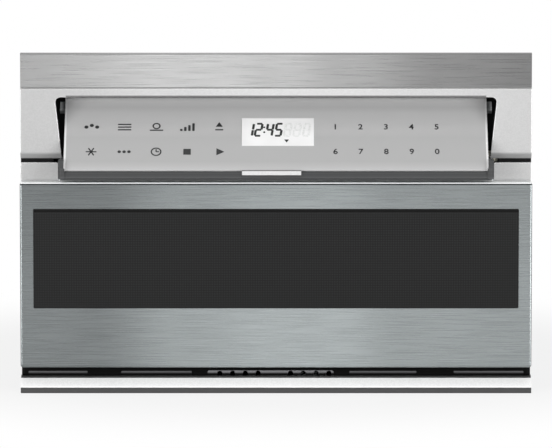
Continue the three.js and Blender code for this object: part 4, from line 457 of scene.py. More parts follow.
@dataclass(frozen=True)
class SilverPaint(Finish):
    """Silver paint on a moulding: aluminium flakes, drawn coarser than real ones, under a lacquer."""

    flake_mm: float = 1.2
    shades: tuple[float, float] = (0.965, 1.03)
    lacquer: tuple[float, float] = (0.25, 0.25)

    def dress(self, paint: Paint) -> None:
        """Lays on the flakes as small changes of brightness, and the lacquer.

        Args:
            paint: the material at work.
        """
        inputs = {"Vector": paint.place, "Scale": 1 / (self.flake_mm * MM)}
        flakes = add(paint.tree, "ShaderNodeTexVoronoi", inputs).outputs["Color"]
        level = add(paint.tree, "ShaderNodeSeparateColor", {"Color": flakes}).outputs[0]
        self.tint(paint, level, self.shades)
        paint.coat(*self.lacquer)


@dataclass(frozen=True)
class KeyFilm(Finish):
    """Printed polyester film over the keys: satin silver, painted lighter at both ends, and with a
    painted highlight along its sides.

    `levels` holds its painted light up the face, from `foot_mm` over its lower edge to `head_mm` over its
    upper.
    """

    # The colour of the painted highlight along the film's sides, and how far in from them it reaches.
    border: str = "dedede"
    border_mm: float = 2.4
    foot_mm: float = 1.38
    head_mm: float = 0.22
    grain_mm: float = 0.9
    depth_mm: float = 0.01
    depth_share: float = 0.5
    # Painted light up the face: lighter towards the top, where the fascia shades it, and at the lower
    # edge.
    levels: Tone = (
        (0.0, 1.0), (0.05, 0.9), (0.12, 0.81), (0.45, 0.85), (0.68, 1.15),
        (0.79, 1.24), (0.87, 1.18), (0.93, 1.35), (1.0, 1.9),
    )

    def dress(self, paint: Paint) -> None:
        """Lays on the painted light up the face, the painted highlight along the sides and the fine
        grain.

        Args:
            paint: the material at work.
        """
        low, high = extent("control_face")
        low, high = low + self.foot_mm, high + self.head_mm
        limits = {"Value": paint.axes["Z"], "From Min": low * MM, "From Max": high * MM}
        height = add(paint.tree, "ShaderNodeMapRange", limits).outputs[0]
        base = linear(self.colour)
        paint.colours(height, [(place, shade(base, level)) for place, level in self.levels])
        # A painted highlight along the film's two sides.
        across = {0: paint.axes["X"]}
        reach = add(paint.tree, "ShaderNodeMath", across, operation="ABSOLUTE").outputs[0]
        edge = (extent("control_face", Axis.X)[1] - self.border_mm) * MM
        beyond = {0: reach, 1: edge}
        side_highlight = add(paint.tree, "ShaderNodeMath", beyond, operation="GREATER_THAN").outputs[0]
        paint.cover(BASE, side_highlight, linear(self.border))
        paint.emboss(paint.grain((self.grain_mm,) * 3, 1.0), self.depth_mm, self.depth_share)


@dataclass(frozen=True)
class ZincSheet(Finish):
    """Hot-dip galvanised sheet: large flat crystals, each catching the light its own way."""

    crystal_mm: float = 6.0
    shades: tuple[float, float] = (0.92, 1.05)
    gloss_change: tuple[float, float] = (-0.05, 0.07)
    ripple_mm: float = 3.0
    depth_mm: float = 0.03
    depth_share: float = 0.4

    def dress(self, paint: Paint) -> None:
        """Lays the crystals on the colour and the gloss, and a faint ripple on the relief.

        Args:
            paint: the material at work.
        """
        inputs = {"Vector": paint.place, "Scale": 1 / (self.crystal_mm * MM), "Randomness": 1.0}
        crystals = add(paint.tree, "ShaderNodeTexVoronoi", inputs).outputs["Color"]
        levels = add(paint.tree, "ShaderNodeSeparateColor", {"Color": crystals}).outputs
        self.tint(paint, levels[0], self.shades)
        low, high = (self.roughness + change for change in self.gloss_change)
        limits = {"Value": levels[1], "To Min": low, "To Max": high}
        paint.feed(GLOSS, add(paint.tree, "ShaderNodeMapRange", limits).outputs[0])
        paint.emboss(paint.grain((self.ripple_mm,) * 3), self.depth_mm, self.depth_share)


@dataclass(frozen=True)
class ScreenedGlass(Finish):
    """Tinted window glass in front of a perforated screen: rows of slightly paler holes.

    A real screen's holes are about 1.5 mm apart, and these are drawn coarser, so that they show.
    """

    pitch_mm: float = 2.9
    hole: str = "272828"
    hole_rim: tuple[float, float] = (0.28, 0.42)

    def dress(self, paint: Paint) -> None:
        """Lays on the rows of holes, the same at every depth.

        Args:
            paint: the material at work.
        """
        flat = add(paint.tree, "ShaderNodeMapping", {"Vector": paint.place, "Scale": (1.0, 0.0, 1.0)})
        scale = 1 / (self.pitch_mm * MM)
        inputs = {"Vector": flat.outputs[0], "Scale": scale, "Randomness": 0.0}
        holes = add(paint.tree, "ShaderNodeTexVoronoi", inputs).outputs["Distance"]
        inner, outer = self.hole_rim
        paint.colours(holes, [(inner, linear(self.hole)), (outer, linear(self.colour))])


@dataclass(frozen=True)
class ClearGlass(Finish):
    """Float glass with a faint grey body, clear enough to see through."""

    clearness: float = 0.85
    ior: float = 1.5
    wave_mm: Point = (80.0, 80.0, 30.0)
    depth_mm: float = 0.02
    depth_share: float = 0.3

    def dress(self, paint: Paint) -> None:
        """Lets light through, with very slight roller waves.

        Args:
            paint: the material at work.
        """
        paint.shader.inputs["Transmission Weight"].default_value = self.clearness
        paint.shader.inputs["IOR"].default_value = self.ior
        paint.emboss(paint.grain(self.wave_mm, 1.0), self.depth_mm, self.depth_share)


@dataclass(frozen=True)
class Enamel(Finish):
    """Fired enamel or baked paint: glossy and even, with a slight orange peel."""

    cloud_mm: float = 90.0
    shades: tuple[float, float] = (0.96, 1.03)
    peel_mm: float = 4.0
    depth_mm: float = 0.04
    depth_share: float = 0.5
    glaze: tuple[float, float] = (0.6, 0.12)

    def dress(self, paint: Paint) -> None:
        """Lays on faint clouds, the orange peel and a clear coat.

        Args:
            paint: the material at work.
        """
        self.tint(paint, paint.grain((self.cloud_mm,) * 3), self.shades)
        paint.emboss(paint.grain((self.peel_mm,) * 3, 1.0), self.depth_mm, self.depth_share)
        paint.coat(*self.glaze)


@dataclass(frozen=True)
class GlassCeramic(Finish):
    """White glass-ceramic with fine grey specks in its body."""

    speck_mm: float = 5.0
    speck_rim: tuple[float, float] = (0.1, 0.2)
    speck_shade: float = 0.72
    polish: tuple[float, float] = (0.5, 0.08)

    def dress(self, paint: Paint) -> None:
        """Lays on the specks, under a polished surface.

        Args:
            paint: the material at work.
        """
        inputs = {"Vector": paint.place, "Scale": 1 / (self.speck_mm * MM), "Randomness": 1.0}
        specks = add(paint.tree, "ShaderNodeTexVoronoi", inputs).outputs["Distance"]
        base, (inner, outer) = linear(self.colour), self.speck_rim
        paint.colours(specks, [(inner, shade(base, self.speck_shade)), (outer, base)])
        paint.coat(*self.polish)


@dataclass(frozen=True)
class MilledMetal(Finish):
    """Bare or plated metal as it leaves the mill: rolling marks along its length."""

    marks_mm: Point = (3.0, 60.0, 3.0)
    shades: tuple[float, float] = (0.88, 1.08)
    depth_mm: float = 0.02
    depth_share: float = 0.4

    def dress(self, paint: Paint) -> None:
        """Lays the rolling marks on the colour and the relief.

        Args:
            paint: the material at work.
        """
        marks = paint.grain(self.marks_mm, 3.0)
        self.tint(paint, marks, self.shades)
        paint.emboss(marks, self.depth_mm, self.depth_share)


@dataclass(frozen=True)
class SolderMask(Finish):
    """Circuit board under green solder mask: copper tracks show as paler lines, drawn coarser."""

    track_mm: float = 5.0
    track_rim: tuple[float, float] = (0.04, 0.08)
    track_shade: float = 1.7

    def dress(self, paint: Paint) -> None:
        """Lays on the tracks as a mesh of thin cell edges.

        Args:
            paint: the material at work.
        """
        inputs = {"Vector": paint.place, "Scale": 1 / (self.track_mm * MM), "Randomness": 0.4}
        cells = add(paint.tree, "ShaderNodeTexVoronoi", inputs, feature="DISTANCE_TO_EDGE")
        base, (inner, outer) = linear(self.colour), self.track_rim
        stops = [(inner, shade(base, self.track_shade)), (outer, base)]
        paint.colours(cells.outputs["Distance"], stops)


@dataclass(frozen=True)
class Ink(Finish):
    """Screen printed ink, very slightly uneven."""

    blotch_mm: float = 2.0
    shades: tuple[float, float] = (0.9, 1.15)

    def dress(self, paint: Paint) -> None:
        """Lays on the unevenness."""
        self.tint(paint, paint.grain((self.blotch_mm,) * 3), self.shades)


# The places in mm of the edges that carry bands.
TRIM_LOW, TRIM_TOP = extent("top_trim")
FASCIA_LOW, FASCIA_TOP = extent("upper_fascia")
SILL_LOW, SILL_TOP = extent("bottom_sill")
VENT_LOW = extent("vent_grille")[0]
DOOR_TOP = extent("door_skin")[1]
GLASS_TOP = extent("door_glass")[1]
FLAP_FRONT = extent("flap_plate", Axis.Y)[0]
CHIN_LOW = extent("flap_housing")[0]
TAB_LOW, TAB_TOP = extent("flap_tab")

# Stainless strip, rolled and then brushed along its length: long soft reflections, and a painted
# reflection that darkens to the right. A line of painted shade runs along its rolled top edge, and a
# painted highlight along its lower edge.
TRIM_STEEL = BrushedSteel(
    "brushed_stainless_trim", "c9c9c9", 0.3, 1.0,
    along=((-303, 0.62), (-120, 0.98), (-60, 1.0), (0, 0.93), (80, 0.73), (200, 0.45), (303, 0.34)),
    bands=(
        Band(TRIM_TOP - 1.7, TRIM_TOP - 0.4, "7a7a7a", 1.0),
        Band(TRIM_LOW - 0.2, TRIM_LOW + 0.9, "c4c4c4", 0.8),
    ),
)
# Stainless sheet, brushed across and folded over the drawer front. A painted reflection makes it bright
# in the middle and darker towards the top; its fold has a painted highlight, with a line of painted shade
# under it.
DOOR_STEEL = BrushedSteel(
    "brushed_stainless_door", "afb5b6", 0.28, 1.0,
    along=((-303, 0.5), (-215, 0.5), (-110, 0.84), (0, 1.0), (60, 1.0), (150, 0.8), (303, 0.72)),
    up=((31, 1.2), (100, 1.14), (222, 0.9), (252, 0.84)),
    bands=(
        Band(DOOR_TOP - 1.6, DOOR_TOP + 0.3, "f2f4f4"),
        Band(DOOR_TOP - 3.2, DOOR_TOP - 1.6, "262a2b", 0.4),
    ),
)
# Stainless plate, brushed and folded over the flap's front: plain grey, with painted shade as a dark line
# at the fold.
FLAP_STEEL = BrushedSteel(
    "brushed_stainless_flap", "b9bdbe", 0.3, 1.0,
    bands=(Band(FLAP_FRONT - 1.3, FLAP_FRONT + 0.5, "444546", axis=Axis.Y),),
)
# Moulding sprayed with silver paint and satin lacquer: a soft even sheen, painted darker towards both
# ends, with a painted white highlight on its rims, a line of painted shade along the top of the notch and
# a strip of painted shade along its lower lip.
FASCIA_SILVER = SilverPaint(
    "satin_silver_lacquer", "cecece", 0.35, 0.3,
    edge_mm=1.4,
    edge_colour="ffffff",
    along=((-303, 0.72), (-240, 0.75), (-150, 0.88), (0, 0.97), (80, 0.97), (210, 0.87), (303, 0.8)),
    bands=(
        Band(FASCIA_TOP - 10.3, FASCIA_TOP - 8.6, "5c5c5c", across_mm=(0, 249)),
        Band(FASCIA_LOW - 0.3, FASCIA_LOW + 7.3, "a0a0a0", 0.2),
    ),
)
# Sill in the fascia's silver paint, a lighter copy for the light that its slope catches: nearly white,
# with painted shade in bands along the top of the slope, under the door, and over its foot.
SILL_SILVER = SilverPaint(
    "satin_silver_sill", "f6f6f6", 0.3, 0.1,
    bands=(
        Band(SILL_TOP - 2.4, SILL_TOP - 0.4, "3c3c3c"),
        Band(SILL_TOP - 0.4, SILL_TOP + 1.4, "101010"),
        Band(SILL_LOW - 1.0, SILL_LOW + 6.9, "404040"),
    ),
)
# Small moulding sprayed silver: a bright face between the shadows of its two lips.
TAB_SILVER = SilverPaint(
    "bright_silver_tab", "d6d6d6", 0.3, 0.25,
    bands=(
        Band(TAB_TOP - 1.12, TAB_TOP + 0.78, "6c6c6c"),
        Band(TAB_LOW - 0.77, TAB_LOW + 1.63, "3a3b3c"),
    ),
)
# Polyester film printed silver on its back and bonded over the keys: satin, painted lighter upwards where
# the fascia shades it, with a painted highlight along its sides.
FILM_SILVER = KeyFilm("satin_key_film", "b9b9b9", 0.42, 0.2)
# Pale acrylic pane from a polished mould: smooth and nearly white, with hardly any grain.
DISPLAY_PALE = Moulded("pale_display_window", "f0f0f0", 0.3, grain_mm=4.0, depth_mm=0.005)
# Dark grey ABS from a spark-eroded mould: satin, with painted shade in two fine dark lines across the
# chin under the keys, and a lighter strip along its lower edge.
DARK_ABS = Moulded(
    "dark_grey_abs", "333435", 0.5,
    edge_mm=0.8,
    bands=(
        Band(CHIN_LOW + 7.82, CHIN_LOW + 9.02, "262728"),
        Band(CHIN_LOW + 4.32, CHIN_LOW + 5.52, "292a2b"),
        Band(CHIN_LOW - 1.68, CHIN_LOW + 1.92, "424344"),
    ),
)
# Black ABS from a spark-eroded mould: plain satin black.
BLACK_ABS = Moulded("black_abs", "121213", 0.5)
# Black ABS with a coarse matt grain: it swallows light, but for a painted highlight on the tops of its
# raised bars, brighter over the middle and darkened near the top on the outer bars.
VENT_ABS = VentMoulding(
    "matt_black_vent", "040404", 0.7,
    specular=0.1,
    along=((-303, 1.0), (-86, 1.0), (-82, 1.9), (70, 1.9), (74, 1.0), (303, 1.0)),
    bands=(Band(VENT_LOW + 22.1, VENT_LOW + 26.0, "060606", across_mm=(85, 310)),),
)
# Steel sheet with baked black powder paint: matt, with the powder's slight texture.
BLACK_PAINT = Moulded("matt_black_paint", "0c0c0d", 0.65, specular=0.15, grain_mm=2.0, depth_mm=0.03)
# Steel sheet drawn through molten zinc: crystals of about 6 mm that glint unevenly.
ZINC = ZincSheet("galvanised_sheet", "a9adaf", 0.38, 0.85)
# Grey tinted float glass over the screen: glossy and nearly black, with the seal's shadow along its top.
WINDOW_GLASS = ScreenedGlass(
    "tinted_screened_glass", "1f1f1f", 0.12,
    specular=0.15,
    bands=(Band(GLASS_TOP - 3.7, GLASS_TOP - 1.2, "0d0d0d"),),
)
# Punched steel screen, dipped in black paint: rough, with a dull glint.
SCREEN_PAINT = Moulded("perforated_screen_black", "141414", 0.5, 0.3, grain_mm=2.4, depth_mm=0.2)
# Clear float glass, fire-polished as it cooled: crisp reflections, and what is behind it shows.
INNER_GLASS = ClearGlass("clear_float_glass", "c9d2d2", 0.04)
# Pressed steel with grey enamel fired on: hard gloss with a slight orange peel.
CAVITY_ENAMEL = Enamel("light_grey_enamel", "b7b9b7", 0.3)
# Pressed steel with white baked paint: a softer gloss than enamel.
TUB_WHITE = Enamel("white_painted_steel", "d9d9d4", 0.35)
# Rolled and ground glass-ceramic plate: polished white with grey specks.
TRAY_CERAMIC = GlassCeramic("speckled_glass_ceramic", "e6e4dc", 0.25)
# Undyed moulded nylon: cream and waxy.
NATURAL_NYLON = Moulded("natural_nylon", "dedacb", 0.5, grain_mm=1.6, depth_mm=0.02)
# Roll-formed steel with bright zinc plating: shiny and cool grey, with the rolls' marks.
PLATED_STEEL = MilledMetal("bright_zinc_plated_steel", "a4a7a9", 0.28, 1.0)
# Steel screws blackened in a hot oxide bath: nearly black, with a soft metallic glint.
SCREW_BLACK = MilledMetal("black_oxide_screw", "2f3032", 0.4, 0.7, marks_mm=(2.0, 2.0, 2.0))
# Aluminium sheet as rolled: pale grey with lengthwise marks.
SHEET_ALUMINIUM = MilledMetal("mill_aluminium", "b9bbbd", 0.32, 1.0)
# Stack of varnished steel sheets: brownish grey with fine lines, drawn coarser than the 0.5 mm sheets.
CORE_STEEL = MilledMetal("laminated_core_steel", "6d6a66", 0.45, 0.8, marks_mm=(60.0, 60.0, 1.2))
# Moulded rubber, dusty from its release powder: dull mid grey.
GREY_RUBBER = Moulded("grey_rubber", "9b9d9e", 0.75, grain_mm=1.0, depth_mm=0.06)
# Glass-fibre board with green solder mask printed on: satin green over paler copper tracks.
BOARD_GREEN = SolderMask("green_solder_mask", "1d5334", 0.4)
# Dark ink, screen printed on the key film: satin, nearly black.
LEGEND_INK = Ink("dark_legend_ink", "1c1d1e", 0.5)
# Liquid crystal segments that are switched on: nearly black, with a green cast.
SEGMENT_BLACK = Ink("display_segment_black", "161918", 0.4)
# Liquid crystal segments that are switched off: a faint grey on the pane.
SEGMENT_UNLIT = Ink("display_segment_unlit", "e3e4e3", 0.4)


# ---------------------------------------------------------------- modelling


def deselect() -> None:
    """Leaves nothing selected and no object active."""
    if bpy.context.object and bpy.context.object.mode != "OBJECT":
        bpy.ops.object.mode_set(mode="OBJECT")
    for obj in bpy.context.view_layer.objects:
        obj.select_set(False)
    bpy.context.view_layer.objects.active = None


def pick(*objects: Object) -> None:
    """Selects only some objects and makes the first one active.

    Args:
        objects: the objects.
    """
    deselect()
    for obj in objects:
        obj.select_set(True)
    bpy.context.view_layer.objects.active = objects[0]


def settle(obj: Object, place: Matrix) -> None:
    """Moves a mesh by a matrix, so that its object stays at the origin.

    Args:
        obj: the object, whose own place is applied first.
        place: where the mesh goes, in the model's frame.
    """
    pick(obj)
    bpy.ops.object.transform_apply(location=True, rotation=True, scale=True)
    obj.data.transform(place)
    obj.data.update()


def merge(name: str, objects: list[Object]) -> Object:
    """Joins objects into one.

    Args:
        name: the name of the new object and its mesh.
        objects: the objects, of which the first one stays.

    Returns:
        The joined object.
    """
    pick(*objects)
    if len(objects) > 1:
        bpy.ops.object.join()
    made = bpy.context.object
    made.name = name
    made.data.name = name
    return made


def finish_piece(obj: Object, finish: Finish, body: str) -> None:
    """Gives a new piece its material, body and slot, and reports it.

    Args:
        obj: the piece.
        finish: its finish.
        body: the body that it moves with.
    """
    obj.data.materials.clear()
    obj.data.materials.append(finish.build())
    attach(obj, body)
    LOG.info("%s rides on %s", obj.name, body)


class SubAssembly:
    """A group of CAD nodes, each with a finish under its name or under the first words of it."""

    finishes: dict[str, Finish] = {}

    def add_pieces(self) -> None:
        """Adds the new pieces. A plain group has none."""

    def build(self) -> set[str]:
        """Dresses its nodes, reports them and adds its new pieces.

        Returns:
            The names of the nodes that were dressed.
        """
        dressed = set()
        for name, obj in frame["nodes"].items():
            words = name.split("_")
            keys = ("_".join(words[:count]) for count in range(len(words), 0, -1))
            finish = next((self.finishes[key] for key in keys if key in self.finishes), None)
            if finish is None:
                continue
            if obj.material_slots:
                for held in obj.material_slots:
                    held.material = finish.build()
            else:
                obj.data.materials.append(finish.build())
            dressed.add(name)
            LOG.info("%s is dressed in %s", name, finish.name)
        self.add_pieces()
        return dressed


class FixedFront(SubAssembly):
    """The fixed front: trim, fascias, sill and vent on their black plate."""

    finishes = {
        "front_plate": BLACK_PAINT,
        "top_trim": TRIM_STEEL,
        "upper_fascia": FASCIA_SILVER,
        "lower_fascia": FASCIA_SILVER,
        "bottom_sill": SILL_SILVER,
        "vent_grille": VENT_ABS,
    }


class Drawer(SubAssembly):
    """The drawer: its front with the window, the tub, and what it runs on and locks with."""

    finishes = {
        "door_skin": DOOR_STEEL,
        "door_glass": WINDOW_GLASS,
        "door_screen": SCREEN_PAINT,
        "door_carrier": BLACK_ABS,
        "choke_panel": BLACK_ABS,
        "inner_glass": INNER_GLASS,
        "drawer_tub": TUB_WHITE,
        "drawer_tray": TRAY_CERAMIC,
        "rack": NATURAL_NYLON,
        "rail": PLATED_STEEL,
        "drive_shaft": PLATED_STEEL,
        "drive_bracket": ZINC,
        "drawer_gearmotor": ZINC,
        "latch_hook": BLACK_ABS,
        "interlock_switch": BLACK_ABS,
    }


class CookingSystem(SubAssembly):
    """What heats and cools inside the case: cavity, microwave source, antenna, supply and fan."""

    finishes = {
        "oven_cavity": CAVITY_ENAMEL,
        "waveguide": SHEET_ALUMINIUM,
        "magnetron": SHEET_ALUMINIUM,
        "antenna_cover": TUB_WHITE,
        "antenna_motor": ZINC,
        "rotating_antenna": SHEET_ALUMINIUM,
        "fan_shroud": BLACK_ABS,
        "fan_motor": ZINC,
        "cooling_fan": NATURAL_NYLON,
        "hv_transformer": CORE_STEEL,
        "hv_capacitor": SHEET_ALUMINIUM,
        "power_board": BOARD_GREEN,
    }


class Shape(Enum):
    """The shape of a printed mark."""

    BAR = "bar"
    RING = "ring"
    DOT = "dot"


@dataclass(frozen=True)
class Mark:
    """One mark of a sign, measured in the sign's own unit from the sign's centre.

    `size` is a bar's width or a radius, and `tall` a bar's height or a ring's width of line.
    """

    shape: Shape
    x: float
    y: float
    size: float
    tall: float = 0.0
    turn: float = 0.0
    corners: int = 16


SIGNS: tuple[tuple[Mark, ...], ...] = (
    tuple(Mark(Shape.DOT, x, y, 1.5) for x, y in ((-4, 0), (0, 1.6), (4, 0))),
    tuple(Mark(Shape.BAR, 0, 2.6 * k, 10, 1.1) for k in (-1, 0, 1)),
    (Mark(Shape.BAR, 0, -3, 10, 1.1), Mark(Shape.RING, 0, 1, 3, 1)),
    tuple(Mark(Shape.BAR, 3 * k - 4.5, 0.9 * k - 2.7, 1.8, 2 + 1.8 * k) for k in range(4)),
    (Mark(Shape.DOT, 0, 1.8, 3, corners=3), Mark(Shape.BAR, 0, -2.6, 6, 1.1)),
    tuple(Mark(Shape.BAR, 0, 0, 8, 1, k * math.pi / 3) for k in range(3)),
    tuple(Mark(Shape.DOT, 3.6 * k, 0, 1.3) for k in (-1, 0, 1)),
    (Mark(Shape.RING, 0, 0, 4, 1), Mark(Shape.BAR, 0, 1.2, 0.9, 2.6), Mark(Shape.BAR, 1.1, 0, 2.4, 0.9)),
    (Mark(Shape.DOT, 0, 0, 3.9, turn=math.pi / 4, corners=4),),
    (Mark(Shape.DOT, 0, 0, 3.9, turn=-math.pi / 2, corners=3),),
)


@dataclass
class FacePrint:
    """Print on the key face of the open flap.

    Marks are laid out flat, with X to the right and Y up the face from `edge_y`, `edge_z`.
    """

    edge_y: float = -0.33135
    edge_z: float = 0.26764
    turn: float = math.radians(45)
    lift: float = 0.00006
    ink: float = 0.00012
    corner_share: float = 0.25

    def sheet(self, x: float, y: float, wide: float, tall: float, turn: float = 0.0) -> Object:
        """Makes a flat rectangle.

        Args:
            x, y: its centre across and up the face.
            wide, tall: its width and height.
            turn: how far it is turned in the face.

        Returns:
            The rectangle.
        """
        deselect()
        bpy.ops.mesh.primitive_plane_add(size=1, location=(x, y, 0), rotation=(0, 0, turn))
        made = bpy.context.object
        made.scale = (wide, tall, 1)
        bpy.ops.object.transform_apply(location=True, rotation=True, scale=True)
        return made

    def bar(self, *shape: float) -> Object:
        """Makes a rectangle with softly rounded corners.

        Args:
            shape: what `sheet` takes.

        Returns:
            The rectangle.
        """
        made = self.sheet(*shape)
        bpy.ops.object.mode_set(mode="EDIT")
        bpy.ops.mesh.select_all(action="SELECT")
        bpy.ops.mesh.bevel(offset=min(shape[2:4]) * self.corner_share, segments=2, affect="VERTICES")
        bpy.ops.object.mode_set(mode="OBJECT")
        return made

    def dot(self, x: float, y: float, radius: float, corners: int = 16, turn: float = 0.0) -> Object:
        """Makes a filled round or polygon mark.

        Args:
            x, y: its centre across and up the face.
            radius: how far its corners are from its centre.
            corners: how many it has.
            turn: how far it is turned in the face.

        Returns:
            The mark.
        """
        deselect()
        bpy.ops.mesh.primitive_circle_add(
            vertices=corners, radius=radius, fill_type="NGON", location=(x, y, 0), rotation=(0, 0, turn)
        )
        return bpy.context.object

    def hollow(self, made: Object, width: float) -> Object:
        """Takes out a mark's middle.

        Args:
            made: the mark, just made and so the active object.
            width: the width of line that stays around it.

        Returns:
            The same mark.
        """
        bpy.ops.object.mode_set(mode="EDIT")
        bpy.ops.mesh.select_all(action="SELECT")
        bpy.ops.mesh.inset(thickness=width)
        bpy.ops.mesh.delete(type="FACE")
        bpy.ops.object.mode_set(mode="OBJECT")
        return made

    def lay(self, name: str, marks: list[Object], lift: float, finish: Finish, slot: str) -> None:
        """Joins flat marks, gives them the ink's thickness and stands them on the face.

        Args:
            name: the new piece's name.
            marks: the marks.
            lift: how far they stand proud of the face.
            finish: the piece's finish.
            slot: not used.
        """
        made = merge(name, marks)
        thick = made.modifiers.new("ink", "SOLIDIFY")
        thick.thickness = self.ink
        thick.offset = 1.0
        pick(made)
        bpy.ops.object.modifier_apply(modifier=thick.name)
        proud = Vector((0, -math.sin(self.turn), math.cos(self.turn))) * lift
        base = Matrix.Translation(Vector((0, self.edge_y, self.edge_z)) + proud)
        settle(made, base @ Matrix.Rotation(self.turn, 4, "X"))
        finish_piece(made, finish, "flap")


@dataclass
class KeyLegends(FacePrint):
    """The figures 0 to 9 and ten plain signs, one on each key."""

    rows: tuple[float, float] = (0.0664, 0.0284)
    figure_columns: tuple[float, ...] = (0.0703, 0.1002, 0.1304, 0.1605, 0.1905)
    figure_height: float = 0.0114
    figure_weight: float = 0.00018
    sign_columns: tuple[float, ...] = (-0.2185, -0.1795, -0.1417, -0.1051, -0.0673)
    sign_unit: float = 0.0016
    ring_corners: int = 28

    def figure(self, value: int, x: float, y: float) -> Object:
        """Makes a plain figure.

        Args:
            value: the figure.
            x, y: its centre across and up the face.

        Returns:
            The figure.
        """
        deselect()
        bpy.ops.object.text_add(location=(x, y, 0))
        text = bpy.context.object.data
        text.body = str(value)
        text.size = self.figure_height
        text.offset = self.figure_weight
        text.align_x = "CENTER"
        text.align_y = "CENTER"
        text.resolution_u = 4
        bpy.ops.object.convert(target="MESH")
        return bpy.context.object

    def mark(self, mark: Mark, x: float, y: float) -> Object:
        """Makes one mark of a sign.

        Args:
            mark: the mark.
            x, y: the sign's centre across and up the face.

        Returns:
            The mark.
        """
        unit = self.sign_unit
        x, y, size = x + mark.x * unit, y + mark.y * unit, mark.size * unit
        if mark.shape is Shape.BAR:
            return self.bar(x, y, size, mark.tall * unit, mark.turn)
        if mark.shape is Shape.RING:
            return self.hollow(self.dot(x, y, size, self.ring_corners), mark.tall * unit)
        return self.dot(x, y, size, mark.corners, mark.turn)

    def build(self) -> None:
        """Prints the figures 1 to 9 and 0, and the signs, each in two rows of five."""
        figures, signs = [], []
        for place in range(10):
            row, column = self.rows[place // 5], place % 5
            figures.append(self.figure((place + 1) % 10, self.figure_columns[column], row))
            signs += [self.mark(mark, self.sign_columns[column], row) for mark in SIGNS[place]]
        self.lay("key_figures", figures, self.lift, LEGEND_INK, "dark_moulding")
        self.lay("key_signs", signs, self.lift, LEGEND_INK, "dark_moulding")


@dataclass
class Display(FacePrint):
    """The display's figures under its pane, lit and unlit, and the pale line around it."""

    level: float = 0.0625
    depth: float = 0.00025
    figure_height: float = 0.0186
    wide_share: float = 0.36
    line_share: float = 0.15
    post_trim: float = 0.3
    level_trim: float = 0.1
    slant: float = 0.14
    clock: tuple[tuple[int, float], ...] = ((1, -0.0307), (2, -0.0206), (4, -0.0073), (5, 0.0033))
    unlit_columns: tuple[float, ...] = (0.0142, 0.0253, 0.0364)
    # Each by its place across, its rise from the level and its radius.
    colon: tuple[float, float, float] = (-0.014, 0.0038, 0.0013)
    pointer: tuple[float, float, float] = (0.0125, -0.0166, 0.0031)
    # The left, right, low and high edge of the line around the pane.
    border: tuple[float, float, float, float] = (-0.0405, 0.0449, 0.0374, 0.0801)
    border_width: float = 0.0031
    segments: tuple[str, ...] = (
        "abcdef", "bc", "abdeg", "abcdg", "bcfg",
        "acdfg", "acdefg", "abc", "abcdefg", "abcdfg",
    )

    def figure(self, value: int, x: float) -> list[Object]:
        """Makes one figure out of slanted segments, lettered clockwise from the top with g in the middle.

        Args:
            value: the figure.
            x: its centre across the face.

        Returns:
            Its segments.
        """
        half = self.figure_height / 2
        wide, line = self.figure_height * self.wide_share, self.figure_height * self.line_share
        level_bars = {"a": half, "g": 0.0, "d": -half}
        posts = {"b": (1, 1), "c": (1, -1), "f": (-1, 1), "e": (-1, -1)}
        made = []
        for name in self.segments[value]:
            if name in posts:
                side, end = posts[name]
                rise = end * half / 2
                centre = (x + side * wide / 2 + rise * self.slant, self.level + rise)
                tall = half - line * self.post_trim
                made.append(self.bar(*centre, line, tall, -math.atan(self.slant)))
            else:
                rise = level_bars[name]
                centre = (x + rise * self.slant, self.level + rise)
                made.append(self.bar(*centre, wide - line * self.level_trim, line))
        return made

    def build(self) -> None:
        """Makes the clock with its colon and pointer, three unlit figures and the line around them."""
        lit = [segment for value, x in self.clock for segment in self.figure(value, x)]
        x, gap, radius = self.colon
        lit += [self.dot(x, self.level + side * gap, radius) for side in (-1, 1)]
        x, rise, radius = self.pointer
        lit.append(self.dot(x, self.level + rise, radius, 3, math.pi))
        self.lay("display_figures", lit, -self.depth, SEGMENT_BLACK, "dark_moulding")
        unlit = [segment for x in self.unlit_columns for segment in self.figure(8, x)]
        self.lay("display_unlit", unlit, -self.depth, SEGMENT_UNLIT, "display")
        left, right, low, high = self.border
        pane = self.sheet((left + right) / 2, (low + high) / 2, right - left, high - low)
        line = self.hollow(pane, self.border_width)
        self.lay("display_frame", [line], self.lift, DISPLAY_PALE, "display")


@dataclass
class ControlFlap(SubAssembly):
    """The control flap with its drive and bay, and what is printed on its face."""

    finishes = {
        "key_board": BOARD_GREEN,
        "flap_bay": BLACK_ABS,
        "flap_damper": BLACK_ABS,
        "damper_pinion": NATURAL_NYLON,
        "push_latch": BLACK_ABS,
        "flap_plate": FLAP_STEEL,
        "flap_housing": DARK_ABS,
        "flap_tab": TAB_SILVER,
        "flap_sector": NATURAL_NYLON,
        "flap_stop": GREY_RUBBER,
        "control_face": FILM_SILVER,
        "display_window": DISPLAY_PALE,
    }
    legends: KeyLegends = field(default_factory=KeyLegends)
    display: Display = field(default_factory=Display)

    def add_pieces(self) -> None:
        """Prints the face's legends and display."""
        self.legends.build()
        self.display.build()


class Side(Enum):
    """Left or right of the middle, as seen from the front."""

    LEFT = -1
    RIGHT = 1


